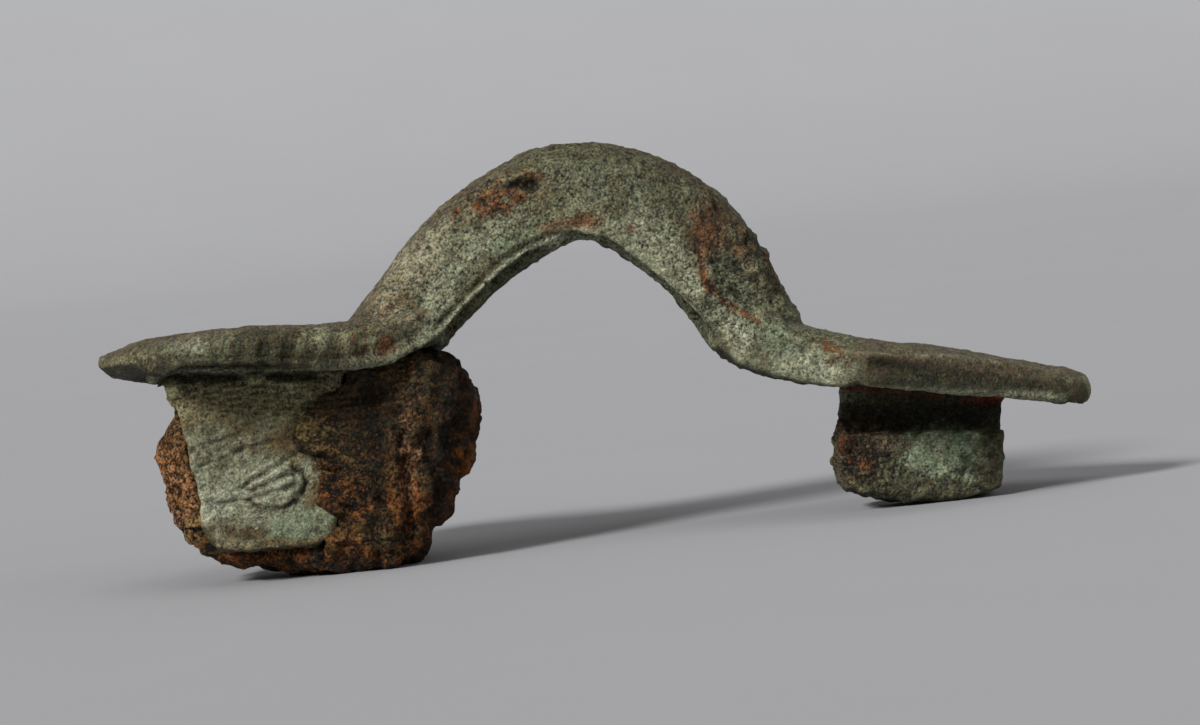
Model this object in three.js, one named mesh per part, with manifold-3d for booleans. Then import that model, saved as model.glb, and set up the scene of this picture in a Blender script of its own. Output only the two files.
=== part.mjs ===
// An ancient bow brooch, cast in copper alloy as one piece: a head plate and a foot plate joined by an
// arched bow, with a catch for the pin under the foot plate and two spring lugs under the head plate.
// The iron spring between the lugs has rusted into one solid mass, which is the second piece.
// Millimetres, +Z up, +X from the head to the foot. The lip of the catch is on the -Y side. The brooch
// lies on its pin side, on the rust and the catch, with the origin in the middle of its footprint.
import * as THREE from "three";
import { mergeVertices } from "three/addons/utils/BufferGeometryUtils.js";
import Module from "manifold-3d";

const wasm = await Module();
wasm.setup();

// Bow: a round arch on straight legs, crowned on top and hollow underneath.
const ARCH_RADIUS = 8.25; // of the line through the middle of the section
const ARCH_LIFT = 2.0; // the arch's centre above the zero level of the profile
const HEAD_LEG_SLOPE = 53; // degrees from level
const FOOT_LEG_SLOPE = 60;
const LEG_LENGTH = 8.5; // runs on into the plates, whose undersides cut it off
const BOW_WIDTH = 8.8;
const BOW_HEIGHT = 4.7;
const BOW_CROWN = 1.25; // height of the rounded top
const BOW_BAND = 1.8; // height of the lower band, which runs on from the edges of the plates
const BOW_STEP = 0.4; // how far the bow stands in above that band, at its feet
const BOW_SWELL = 0.6; // how much deeper the bow is on its inner side, half way down each haunch
const BOW_SWELL_REACH = 10.6; // along the middle line, from the top to where the swelling ends
const BOW_HOLLOW_WIDTH = 6.2;
const BOW_HOLLOW_DEPTH = 1.5;

// Head plate: a rounded plate. Levels and rises are of the underside, in the profile.
const HEAD_LENGTH = 17.9; // from the bow's inner side to the tip
const HEAD_WIDTH = 17.0;
const HEAD_WIDEST_AT = 9.6; // from the bow's inner side
const HEAD_TIP_WIDTH = 1.6;
const HEAD_LEVEL = 0.4;
const HEAD_NECK_RISE = 1.6;
const HEAD_RISE_LENGTH = 7.0;
const HEAD_NECK_EDGE = 1.9; // height of the upright edge, where the plate leaves the bow
const HEAD_WIDEST_EDGE = 1.2;
const HEAD_TIP_EDGE = 0.35;
const HEAD_TWIST = -2.0; // degrees about the length, as the plate is bent

// Foot plate: shaped like a kite, widest near the bow.
const FOOT_LENGTH = 19.4;
const FOOT_WIDTH = 15.8;
const FOOT_WIDEST_AT = 7.6;
const FOOT_TIP_WIDTH = 4.0;
const FOOT_LEVEL = 0.58;
const FOOT_DROOP = 4.2; // degrees, the underside's slope down towards the tip
const FOOT_NECK_RISE = 1.6;
const FOOT_RISE_LENGTH = 6.0;
const FOOT_NECK_EDGE = 2.6;
const FOOT_WIDEST_EDGE = 1.75;
const FOOT_TIP_EDGE = 0.7;
const FOOT_TWIST = 3.0;

// Both plates: a bevelled face, and an underside hollowed inside a rim.
const BEVEL_RUN = 1.9;
const BEVEL_RISE = 0.8;
const PLATE_CROWN = 0.12;
const UNDER_CHAMFER = 0.22;
const UNDER_RIM = 1.3;
const UNDER_HOLLOW = 0.4;
const TIP_LIFT = 0.35; // how far the underside turns up over the last bit of the tip

// Catch: a web with a turned-up lip, open on top for the pin to drop in behind the lip.
const CATCH_SETBACK = 6.9; // from the bow's inner side
const CATCH_LENGTH = 8.5;
const CATCH_DEPTH = 5.9; // below the plate
const CATCH_WEB = 1.2;
const CATCH_LIP = 1.0;
const CATCH_SLOT = 1.5;
const CATCH_FLOOR = 1.1;
const CATCH_LIP_HEIGHT = 3.8; // from the bottom of the catch
const CATCH_SAG = 0.8; // how far the bottom bows down between its ends
const CATCH_LEAN = 0.35; // how far both ends lean towards the bow over the depth

// Lugs: two tongues under the head plate, with the end of the spring's axis as a boss on each.
const LUG_SETBACK = 5.0; // from the bow's inner side
const LUG_LENGTH = 8.8;
const LUG_DEPTH = 9.25; // below the plate
const LUG_THICKNESS = 1.3;
const LUG_SPACING = 4.6; // clear width between the two lugs
const LUG_TAPER = 1.6; // how far the side near the tip leans in over the depth
const LUG_CORNER = 1.7;
const LUG_ROOT = 1.1; // how far that side flares out at the plate, and over what depth
const BOSS_LENGTH = 3.6;
const BOSS_HEIGHT = 2.8;
const BOSS_PROUD = 0.35;
const BOSS_SETBACK = 9.0; // from the bow's inner side
const BOSS_DROP = 5.9; // below the plate

// Rust: a lump around the lugs. Its outline in the profile is in shares of its half length and depth.
const RUST_LENGTH = 16.8;
const RUST_DEPTH = 10.9;
const RUST_SETBACK = 6.5; // its middle, from the bow's inner side
const RUST_DROP = 4.75; // its middle, below the plate
const RUST_WIDTH_HEAD_END = 6.6;
const RUST_WIDTH_BOW_END = 8.8;
const RUST_BOXINESS = 0.5; // 1 is an ellipse from outline to side, 0 is a box
const RUST_RIDGE = 0.22; // height of the upright ridges on its sides
const RUST_RIDGE_PITCH = 2.6;
const RUST_GAP = 0.3; // between the rust and the casting
const RUST_OUTLINE = [
  [0.8, 1.03],
  [0.93, 0.83],
  [0.99, 0.5],
  [0.965, 0.16],
  [0.89, -0.15],
  [0.82, -0.41],
  [0.71, -0.63],
  [0.61, -0.83],
  [0.48, -0.97],
  [0.2, -0.99],
  [-0.12, -0.96],
  [-0.4, -0.92],
  [-0.66, -0.83],
  [-0.83, -0.6],
  [-0.92, -0.28],
  [-1.0, 0.05],
  [-0.97, 0.24],
  [-0.88, 0.45],
  [-0.85, 0.86],
  [-0.05, 0.98],
  [0.5, 1.1],
];

// How the brooch lies.
const REST_ROLL = 5.5; // degrees that it leans over, away from its near side
const REST_FLAT = 0.2; // depth of the flat spots worn where it touches the ground

// Fineness of the facets.
const ARCH_STEPS = 26;
const LEG_STEPS = 6;
const NECK_STEPS = 9;
const TIP_STEPS = 15;
const RUST_STEPS = 46;
const RUST_RINGS = 14;

const radians = THREE.MathUtils.degToRad;
const mix = THREE.MathUtils.lerp;
const smooth = (x, low, high) => THREE.MathUtils.smoothstep(x, low, high);

// Solids and meshes.

function solidOf(geometry) {
  const bare = geometry.index ? geometry.toNonIndexed() : geometry.clone();
  for (const name of Object.keys(bare.attributes)) {
    if (name !== "position") bare.deleteAttribute(name);
  }
  const merged = mergeVertices(bare, 1e-4);
  const mesh = new wasm.Mesh({
    numProp: 3,
    vertProperties: merged.attributes.position.array,
    triVerts: new Uint32Array(merged.index.array),
  });
  return new wasm.Manifold(mesh);
}

function geometryOf(solid) {
  const mesh = solid.getMesh();
  const geometry = new THREE.BufferGeometry();
  geometry.setAttribute("position", new THREE.BufferAttribute(mesh.vertProperties, 3));
  geometry.setIndex(new THREE.BufferAttribute(mesh.triVerts, 1));
  const flat = geometry.toNonIndexed();
  flat.computeVertexNormals();
  return flat;
}

function joined(solids) {
  return solids.reduce((sum, solid) => sum.add(solid));
}

function largest(solid) {
  return solid.decompose().reduce((best, body) => (body.volume() > best.volume() ? body : best));
}

// A closed skin over rings of equally many points, with a fan over each end ring.
function loft(rings) {
  const count = rings[0].length;
  const points = rings.flat();
  const middles = [rings[0], rings.at(-1)].map((ring) => {
    const sum = ring.reduce((total, point) => total.add(point), new THREE.Vector3());
    return sum.divideScalar(count);
  });
  const [first, last] = [points.length, points.length + 1];
  const faces = [];
  for (let ring = 0; ring + 1 < rings.length; ring++) {
    for (let i = 0; i < count; i++) {
      const next = (i + 1) % count;
      const [a, b] = [ring * count + i, ring * count + next];
      faces.push(a, b, a + count, b, b + count, a + count);
    }
  }
  const end = (rings.length - 1) * count;
  for (let i = 0; i < count; i++) {
    const next = (i + 1) % count;
    faces.push(first, next, i);
    faces.push(last, end + i, end + next);
  }
  return skin([...points, ...middles], faces);
}

// The skin's geometry, turned to face outwards.
function skin(points, faces) {
  const [a, b, c] = [new THREE.Vector3(), new THREE.Vector3(), new THREE.Vector3()];
  let volume = 0;
  for (let i = 0; i < faces.length; i += 3) {
    a.copy(points[faces[i]]);
    b.copy(points[faces[i + 1]]);
    c.copy(points[faces[i + 2]]);
    volume += a.dot(b.cross(c));
  }
  const outward = volume > 0 ? faces : faces.toReversed();
  return new THREE.BufferGeometry().setFromPoints(points).setIndex(outward);
}

// A shape drawn in the profile, as thick as depth, with its near side at y.
function slab(shape, y, depth) {
  const geometry = new THREE.ExtrudeGeometry(shape, { depth, bevelEnabled: false, curveSegments: 8 });
  geometry.rotateX(Math.PI / 2);
  geometry.translate(0, y + depth, 0);
  return solidOf(geometry);
}

// The other half of a half outline that starts and ends on the middle line.
function mirrored(half) {
  const other = half.slice(1, -1).map(([y, h]) => [-y, h]);
  return [...half, ...other.reverse()];
}

// The bow.

// Where the middle line is after a length along it from the top of the arch, positive towards the
// foot, and the direction across it that points away from the arch's centre.
function bowPlace(along) {
  const slope = radians(along < 0 ? HEAD_LEG_SLOPE : FOOT_LEG_SLOPE);
  const side = Math.sign(along);
  const turn = Math.min(Math.abs(along) / ARCH_RADIUS, slope);
  const leg = Math.abs(along) - turn * ARCH_RADIUS;
  const across = new THREE.Vector3(side * Math.sin(turn), 0, Math.cos(turn));
  const down = new THREE.Vector3(side * Math.cos(turn), 0, -Math.sin(turn));
  const place = across.clone().multiplyScalar(ARCH_RADIUS).addScaledVector(down, leg);
  place.z += ARCH_LIFT;
  return { place, across };
}

function bowHalfSection(footness, swell) {
  const half = BOW_WIDTH / 2;
  const low = -BOW_HEIGHT / 2 - swell;
  const high = BOW_HEIGHT / 2;
  const hollow = BOW_HOLLOW_WIDTH / 2;
  const inset = half - BOW_STEP * footness;
  return [
    [0, low + BOW_HOLLOW_DEPTH],
    [hollow * 0.55, low + BOW_HOLLOW_DEPTH * 0.86],
    [hollow * 0.88, low + BOW_HOLLOW_DEPTH * 0.4],
    [hollow, low],
    [half - 0.2, low],
    [half, low + 0.25],
    [half, low + BOW_BAND],
    [inset, low + BOW_BAND + 0.3],
    [inset - 0.1, high - BOW_CROWN],
    [inset * 0.82, high - BOW_CROWN * 0.42],
    [inset * 0.48, high - BOW_CROWN * 0.1],
    [0, high],
  ];
}

function bow() {
  const headArc = ARCH_RADIUS * radians(HEAD_LEG_SLOPE);
  const footArc = ARCH_RADIUS * radians(FOOT_LEG_SLOPE);
  const stops = [];
  for (let i = 0; i < LEG_STEPS; i++) stops.push(-headArc - LEG_LENGTH * (1 - i / LEG_STEPS));
  for (let i = 0; i <= ARCH_STEPS; i++) stops.push(mix(-headArc, footArc, i / ARCH_STEPS));
  for (let i = 1; i <= LEG_STEPS; i++) stops.push(footArc + (LEG_LENGTH * i) / LEG_STEPS);
  const rings = stops.map((along) => {
    const { place, across } = bowPlace(along || Number.EPSILON);
    const footness = smooth(Math.abs(along), headArc * 0.3, headArc * 1.3);
    const reach = Math.min(Math.abs(along) / BOW_SWELL_REACH, 1);
    const swell = BOW_SWELL * Math.sin(Math.PI * reach);
    return mirrored(bowHalfSection(footness, swell)).map(([y, h]) => {
      return new THREE.Vector3(0, y, 0).add(place).addScaledVector(across, h);
    });
  });
  return solidOf(loft(rings));
}

// The plates.

// Where a leg's inner side comes down to the level where its plate starts.
function neckX(side, slopeDegrees, level) {
  const slope = radians(slopeDegrees);
  const inner = ARCH_RADIUS - BOW_HEIGHT / 2;
  const drop = ARCH_LIFT + inner * Math.cos(slope) - level;
  return side * (inner * Math.sin(slope) + drop / Math.tan(slope));
}

const HEAD = {
  side: -1,
  x: neckX(-1, HEAD_LEG_SLOPE, HEAD_LEVEL + HEAD_NECK_RISE),
  length: HEAD_LENGTH,
  half: HEAD_WIDTH / 2,
  widestAt: HEAD_WIDEST_AT,
  tipHalf: HEAD_TIP_WIDTH / 2,
  round: true,
  level: HEAD_LEVEL,
  droop: 0,
  rise: HEAD_NECK_RISE,
  riseLength: HEAD_RISE_LENGTH,
  risePower: 1.7,
  edges: [HEAD_NECK_EDGE, HEAD_WIDEST_EDGE, HEAD_TIP_EDGE],
  twist: HEAD_TWIST,
};

const FOOT = {
  side: 1,
  x: neckX(1, FOOT_LEG_SLOPE, FOOT_LEVEL + FOOT_NECK_RISE),
  length: FOOT_LENGTH,
  half: FOOT_WIDTH / 2,
  widestAt: FOOT_WIDEST_AT,
  tipHalf: FOOT_TIP_WIDTH / 2,
  round: false,
  level: FOOT_LEVEL,
  droop: FOOT_DROOP,
  rise: FOOT_NECK_RISE,
  riseLength: FOOT_RISE_LENGTH,
  risePower: 2.5,
  edges: [FOOT_NECK_EDGE, FOOT_WIDEST_EDGE, FOOT_TIP_EDGE],
  twist: FOOT_TWIST,
};

function tipLift(plate, out) {
  return TIP_LIFT * Math.max(0, 1 - (plate.length - out) / (TIP_LIFT * 2.5)) ** 2;
}

// Height of the underside at a distance out from the bow's inner side.
function underside(plate, out) {
  const up = Math.max(0, 1 - out / plate.riseLength);
  const slope = out * Math.tan(radians(plate.droop));
  return plate.level - slope + plate.rise * up ** plate.risePower + tipLift(plate, out);
}

function halfWidth(plate, out) {
  const neck = BOW_WIDTH / 2;
  const outward = (out - plate.widestAt) / (plate.length - plate.widestAt);
  if (plate.round) {
    if (outward <= 0) return mix(neck, plate.half, smooth(out, 0, plate.widestAt));
    const curve = Math.sqrt(1 - Math.min(outward, 1) ** 2);
    return plate.tipHalf + (plate.half - plate.tipHalf) * curve;
  }
  if (outward <= 0) return mix(neck, plate.half, (out / plate.widestAt) ** 1.25);
  const roundness = Math.max(0, 1 - (plate.length - out) / plate.tipHalf);
  const straight = mix(plate.half, plate.tipHalf, outward);
  return straight * Math.sqrt(1 - 0.75 * roundness ** 2);
}

function edgeHeight(plate, out) {
  const [neck, widest, tip] = plate.edges;
  const outward = (out - plate.widestAt) / (plate.length - plate.widestAt);
  return outward <= 0 ? mix(neck, widest, out / plate.widestAt) : mix(widest, tip, outward ** 1.2);
}

function plateHalfSection(plate, out) {
  const half = halfWidth(plate, out);
  const edge = Math.max(edgeHeight(plate, out) - tipLift(plate, out), plate.edges[2] * 0.5);
  const run = Math.min(BEVEL_RUN, half * 0.7);
  const rise = (BEVEL_RISE * run) / BEVEL_RUN;
  const hollowHalf = Math.max(half - UNDER_RIM, half * 0.1);
  const ends = smooth(out, 0, UNDER_RIM * 1.5) * smooth(plate.length - out, UNDER_RIM * 0.5, UNDER_RIM * 2);
  const hollow = UNDER_HOLLOW * ends;
  const chamfer = Math.min(UNDER_CHAMFER, edge * 0.4);
  return [
    [0, hollow],
    [hollowHalf * 0.86, hollow],
    [hollowHalf, 0],
    [half - chamfer, 0],
    [half, chamfer],
    [half, edge],
    [half - run * 0.4, edge + rise * 0.6],
    [half - run, edge + rise],
    [0, edge + rise + PLATE_CROWN],
  ];
}

function plateBody(plate) {
  const stops = [];
  for (let i = 0; i < NECK_STEPS; i++) stops.push((plate.widestAt * i) / NECK_STEPS);
  for (let i = 0; i <= TIP_STEPS; i++) {
    const share = Math.sin((Math.PI / 2) * (i / TIP_STEPS));
    stops.push(mix(plate.widestAt, plate.length, share));
  }
  const rings = stops.map((out) => {
    const twist = radians(plate.twist) * smooth(out, 0, plate.widestAt);
    const base = new THREE.Vector3(plate.x + plate.side * out, 0, underside(plate, out));
    return mirrored(plateHalfSection(plate, out)).map(([y, h]) => {
      const point = new THREE.Vector3(0, y, h);
      point.applyAxisAngle(new THREE.Vector3(1, 0, 0), twist);
      return point.add(base);
    });
  });
  return solidOf(loft(rings));
}

// All the space under a plate, as wide as the brooch, down to a depth, lowered by a gap.
function spaceUnder(plate, gap) {
  const before = 4;
  const steps = 40;
  const shape = new THREE.Shape();
  const place = (out) => plate.x + plate.side * out;
  shape.moveTo(place(-before), -ARCH_RADIUS * 4);
  for (let i = 0; i <= steps; i++) {
    const out = mix(-before, plate.length, i / steps);
    shape.lineTo(place(out), underside(plate, out) - gap);
  }
  shape.lineTo(place(plate.length), -ARCH_RADIUS * 4);
  const width = plate.half * 4;
  return slab(shape, -width / 2, width);
}

// The catch.

function catchSection(bottom, top) {
  const width = CATCH_LIP + CATCH_SLOT + CATCH_WEB;
  const near = -width / 2;
  const inner = near + CATCH_LIP;
  const web = inner + CATCH_SLOT;
  const fold = CATCH_FLOOR;
  const lipTop = bottom + CATCH_LIP_HEIGHT;
  const shape = new THREE.Shape();
  shape.moveTo(near + fold, bottom);
  shape.lineTo(-near - fold, bottom);
  shape.quadraticCurveTo(-near, bottom, -near, bottom + fold);
  shape.lineTo(-near, top);
  shape.lineTo(web, top);
  shape.lineTo(web, bottom + CATCH_FLOOR + CATCH_SLOT / 2);
  shape.absarc((inner + web) / 2, bottom + CATCH_FLOOR + CATCH_SLOT / 2, CATCH_SLOT / 2, 0, Math.PI, true);
  shape.lineTo(inner, lipTop - CATCH_LIP * 0.3);
  shape.lineTo(inner - CATCH_LIP * 0.3, lipTop);
  shape.lineTo(near + CATCH_LIP * 0.25, lipTop);
  shape.lineTo(near, lipTop - CATCH_LIP * 0.25);
  shape.lineTo(near, bottom + fold);
  shape.quadraticCurveTo(near, bottom, near + fold, bottom);
  return shape;
}

function catchHook() {
  const start = FOOT.x + CATCH_SETBACK;
  const middle = underside(FOOT, CATCH_SETBACK + CATCH_LENGTH / 2);
  const bottom = middle - CATCH_DEPTH;
  const top = middle + FOOT_WIDEST_EDGE / 2;
  const bar = new THREE.ExtrudeGeometry(catchSection(bottom, top), {
    depth: CATCH_LENGTH + CATCH_LEAN,
    bevelEnabled: false,
    curveSegments: 6,
  });
  // Turns the section's x and y to Y and Z, and its depth to X.
  const turned = new THREE.Matrix4().makeBasis(
    new THREE.Vector3(0, 1, 0),
    new THREE.Vector3(0, 0, 1),
    new THREE.Vector3(1, 0, 0),
  );
  bar.applyMatrix4(turned);
  bar.translate(start - CATCH_LEAN, 0, 0);
  const outline = new THREE.Shape();
  const finish = start + CATCH_LENGTH;
  const corner = bottom + CATCH_SAG;
  outline.moveTo(start, top);
  outline.lineTo(start - CATCH_LEAN, bottom + CATCH_DEPTH * 0.35);
  outline.lineTo(start, corner);
  outline.quadraticCurveTo((start + finish) / 2, bottom - CATCH_SAG, finish - CATCH_LEAN, corner);
  outline.lineTo(finish, top);
  const side = slab(outline, -FOOT.half, FOOT.half * 2);
  return solidOf(bar).intersect(side);
}

// The lugs.

// A tongue's outline in the profile, larger all round by a margin.
function lugOutline(margin) {
  const x = (out) => HEAD.x + HEAD.side * out;
  const near = LUG_SETBACK - margin;
  const far = LUG_SETBACK + LUG_LENGTH + margin;
  const bottom = underside(HEAD, LUG_SETBACK + LUG_LENGTH / 2) - LUG_DEPTH - margin;
  const top = HEAD_LEVEL + HEAD_WIDEST_EDGE / 2 + margin;
  const root = underside(HEAD, LUG_SETBACK + LUG_LENGTH) - LUG_ROOT;
  const shape = new THREE.Shape();
  shape.moveTo(x(near), top);
  shape.lineTo(x(near + LUG_TAPER * 0.3), bottom + LUG_CORNER * 1.3);
  shape.quadraticCurveTo(x(near), bottom + LUG_CORNER * 0.4, x(near + LUG_CORNER), bottom + LUG_CORNER * 0.2);
  shape.lineTo(x(far - LUG_TAPER - LUG_CORNER), bottom);
  shape.quadraticCurveTo(x(far - LUG_TAPER), bottom, x(far - LUG_TAPER), bottom + LUG_CORNER);
  shape.lineTo(x(far), root);
  shape.quadraticCurveTo(x(far), root + LUG_ROOT, x(far + LUG_ROOT), root + LUG_ROOT);
  shape.lineTo(x(far + LUG_ROOT), top);
  return shape;
}

// One lug with its boss, larger all round by a margin. Side is -1 for the near one, 1 for the far one.
function lug(side, margin) {
  const thickness = LUG_THICKNESS + margin * 2;
  const middle = side * (LUG_SPACING + LUG_THICKNESS) * 0.5;
  const tongue = slab(lugOutline(margin), middle - thickness / 2, thickness);
  const boss = new THREE.CylinderGeometry(0.85, 1, 1, 20);
  const reach = LUG_THICKNESS / 2 + BOSS_PROUD + margin;
  if (side < 0) boss.rotateX(Math.PI);
  boss.scale(BOSS_LENGTH / 2 + margin, reach, BOSS_HEIGHT / 2 + margin);
  boss.translate(
    HEAD.x + HEAD.side * BOSS_SETBACK,
    middle + (side * reach) / 2,
    underside(HEAD, BOSS_SETBACK) - BOSS_DROP,
  );
  return tongue.add(solidOf(boss));
}

// The rust.

// A lump with the outline in the profile, rounded towards its two sides, and wider at the bow's end.
function rustLump() {
  const middleX = HEAD.x + HEAD.side * RUST_SETBACK;
  const middleZ = underside(HEAD, RUST_SETBACK) - RUST_DROP;
  const corners = RUST_OUTLINE.map(([x, z]) => new THREE.Vector3(x, 0, z));
  const outline = new THREE.CatmullRomCurve3(corners, true).getPoints(RUST_STEPS).slice(0, -1);
  const rings = [];
  for (let i = 0; i < RUST_RINGS; i++) {
    const share = (2 * i + 1) / RUST_RINGS - 1;
    const latitude = (Math.PI / 2) * (1 - (1 - Math.abs(share)) ** 2);
    const spread = Math.cos(latitude) ** RUST_BOXINESS;
    const sideways = Math.sign(share) * Math.sin(latitude) ** RUST_BOXINESS;
    rings.push(
      outline.map((corner) => {
        const x = (corner.x * spread * RUST_LENGTH) / 2;
        const z = (corner.z * spread * RUST_DEPTH) / 2;
        const width = mix(RUST_WIDTH_HEAD_END, RUST_WIDTH_BOW_END, smooth(x, -RUST_LENGTH / 4, RUST_LENGTH / 3));
        const ridge = RUST_RIDGE * Math.sin((2 * Math.PI * x) / RUST_RIDGE_PITCH) * smooth(x, 0, RUST_LENGTH / 6);
        return new THREE.Vector3(x, sideways * (width / 2 + ridge), z);
      }),
    );
  }
  const lump = loft(rings);
  lump.rotateX(radians(REST_ROLL)); // level at rest
  lump.translate(middleX, 0, middleZ);
  return solidOf(lump);
}

// How the brooch lies down.

function vertices(solid) {
  const mesh = solid.getMesh();
  const found = [];
  for (let i = 0; i < mesh.numVert; i++) {
    const [x, y, z] = mesh.vertProperties.subarray(i * mesh.numProp, i * mesh.numProp + 3);
    found.push(new THREE.Vector3(x, y, z));
  }
  return { points: found, faces: mesh.triVerts };
}

// How far along the length the solid balances.
function balanceX(solid) {
  const { points, faces } = vertices(solid);
  let volume = 0;
  let moment = 0;
  for (let i = 0; i < faces.length; i += 3) {
    const [a, b, c] = [points[faces[i]], points[faces[i + 1]], points[faces[i + 2]]];
    const part = a.dot(b.clone().cross(c)) / 6;
    volume += part;
    moment += (part * (a.x + b.x + c.x)) / 4;
  }
  return moment / volume;
}

// The line that the brooch touches the ground along, seen from the side: the stretch of the lower
// outline's hull that has the balance point over it.
function groundLine(solid) {
  const sorted = vertices(solid).points.sort((a, b) => a.x - b.x || a.z - b.z);
  const hull = [];
  const turnsUp = (a, b, c) => (b.x - a.x) * (c.z - a.z) - (b.z - a.z) * (c.x - a.x) > 0;
  for (const point of sorted) {
    while (hull.length > 1 && !turnsUp(hull.at(-2), hull.at(-1), point)) hull.pop();
    hull.push(point);
  }
  const balance = balanceX(solid);
  const right = hull.findIndex((point) => point.x > balance);
  return [hull[right - 1], hull[right]];
}

// Turns the pieces to lie on that line, wears the flat spots, and centres the footprint.
function laidDown(standing) {
  const roll = new THREE.Matrix4().makeRotationX(-radians(REST_ROLL)).toArray();
  const pieces = standing.map((piece) => piece.transform(roll));
  const [left, right] = groundLine(joined(pieces));
  const lean = new THREE.Matrix4().makeRotationY(Math.atan2(right.z - left.z, right.x - left.x));
  const ground = left.clone().applyMatrix4(lean).z + REST_FLAT;
  const size = (HEAD_LENGTH + FOOT_LENGTH) * 4;
  const below = new THREE.BoxGeometry(size, size, size);
  below.translate(0, 0, ground - size / 2);
  const floor = solidOf(below);
  const worn = pieces.map((piece) => piece.transform(lean.toArray()).subtract(floor));
  const { min, max } = joined(worn).boundingBox();
  return worn.map((piece) => piece.translate([-(min[0] + max[0]) / 2, -(min[1] + max[1]) / 2, -ground]));
}

// The two pieces.

function casting() {
  const legs = bow().subtract(spaceUnder(HEAD, 0)).subtract(spaceUnder(FOOT, 0));
  const lugs = [lug(-1, 0), lug(1, 0)];
  return largest(joined([legs, plateBody(HEAD), plateBody(FOOT), catchHook(), ...lugs]));
}

function rustedSpring() {
  const pockets = joined([lug(-1, RUST_GAP), lug(1, RUST_GAP)]);
  return largest(rustLump().intersect(spaceUnder(HEAD, RUST_GAP)).subtract(pockets));
}

function mesh(name, solid, material) {
  const made = new THREE.Mesh(geometryOf(solid), material);
  made.name = name;
  return made;
}

const patina = new THREE.MeshStandardMaterial({ color: 0x6f7460, roughness: 0.8, metalness: 0.15 });
const rust = new THREE.MeshStandardMaterial({ color: 0x5a3a22, roughness: 0.95, metalness: 0.0 });

const [bronze, iron] = laidDown([casting(), rustedSpring()]);
const brooch = new THREE.Group();
brooch.add(mesh("brooch_casting", bronze, patina));
brooch.add(mesh("rusted_spring", iron, rust));

export default brooch;
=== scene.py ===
"""An ancient bow brooch in corroded copper alloy, with the rusted lump of its iron spring.

Each of the two solids is replaced by a dense mesh of the same form, which gets the relief of a corroded
surface: pits, crust, ridges and worn grooves. Places on the side seen in the photograph are given in its
pixels, through the same camera that the scene uses. The far side gets its own patches.
"""

import math

import bpy
import numpy as np
from mathutils import Matrix, Vector


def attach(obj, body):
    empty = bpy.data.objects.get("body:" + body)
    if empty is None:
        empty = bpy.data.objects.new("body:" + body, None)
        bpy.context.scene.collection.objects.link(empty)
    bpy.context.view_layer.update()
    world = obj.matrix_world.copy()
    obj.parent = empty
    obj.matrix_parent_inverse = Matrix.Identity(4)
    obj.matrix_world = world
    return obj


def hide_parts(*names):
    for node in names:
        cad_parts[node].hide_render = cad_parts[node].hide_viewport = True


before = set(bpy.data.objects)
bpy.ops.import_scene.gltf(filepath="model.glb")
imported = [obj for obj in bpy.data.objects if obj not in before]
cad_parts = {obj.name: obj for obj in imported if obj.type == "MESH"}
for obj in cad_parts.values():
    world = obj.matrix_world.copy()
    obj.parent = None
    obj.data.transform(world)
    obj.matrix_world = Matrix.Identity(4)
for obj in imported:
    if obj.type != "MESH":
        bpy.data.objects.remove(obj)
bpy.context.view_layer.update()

MM = 0.001

# The photograph's view: degrees, millimetres, and the frame's own 1200 x 725 pixels.
AZIMUTH = -1.0
ELEVATION = 3.0
ROLL = -6.495
DISTANCE = 250.0
TARGET = np.array([0.517, 0.0, 9.167])
PIXELS_PER_MM = 19.12
FRAME_WIDTH = 1200
FRAME_HEIGHT = 725
SENSOR = 36.0

# The size of a mesh cell, and the rounds of smoothing that soften the solids' edges.
CASTING_VOXEL = 0.168
CASTING_ROUNDING = 5
RUST_VOXEL = 0.125
RUST_ROUNDING = 8

SKY_STRENGTH = 0.30


# The camera.


def view_axes():
    """The picture's right, up and ahead in the frame's axes."""
    a, e, r = (math.radians(v) for v in (AZIMUTH, ELEVATION, ROLL))
    right = np.array([math.cos(a), math.sin(a), 0.0])
    ahead = np.array([-math.sin(a) * math.cos(e), math.cos(a) * math.cos(e), -math.sin(e)])
    up = np.cross(right, ahead)
    turned = math.cos(r) * right + math.sin(r) * up
    return turned, -math.sin(r) * right + math.cos(r) * up, ahead


RIGHT, UP, AHEAD = view_axes()

# The brooch leans back, so the picture sees it this many degrees from below.
FROM_BELOW = math.radians(2.5)
TOPWARD = UP * math.cos(FROM_BELOW) - AHEAD * math.sin(FROM_BELOW)
ACROSS = AHEAD * math.cos(FROM_BELOW) + UP * math.sin(FROM_BELOW)


def to_pixels(points):
    """Where points in millimetres are in the photograph."""
    offset = points - TARGET
    scale = PIXELS_PER_MM * DISTANCE / (offset @ AHEAD + DISTANCE)
    x = FRAME_WIDTH / 2 + offset @ RIGHT * scale
    y = FRAME_HEIGHT / 2 - offset @ UP * scale
    return np.stack([x, y], axis=1)


def make_camera():
    """The photograph's camera."""
    data = bpy.data.cameras.new("camera")
    data.sensor_fit = "HORIZONTAL"
    data.sensor_width = SENSOR
    data.lens = SENSOR * DISTANCE * PIXELS_PER_MM / FRAME_WIDTH
    data.clip_start = 0.01
    data.clip_end = 20.0
    camera = bpy.data.objects.new("camera", data)
    place = (TARGET - AHEAD * DISTANCE) * MM
    axes = np.stack([RIGHT, UP, -AHEAD], axis=1)
    camera.matrix_world = Matrix.Translation(Vector(place)) @ Matrix(axes.tolist()).to_4x4()
    bpy.context.scene.collection.objects.link(camera)
    bpy.context.scene.camera = camera


# Noise over points in millimetres.


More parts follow.
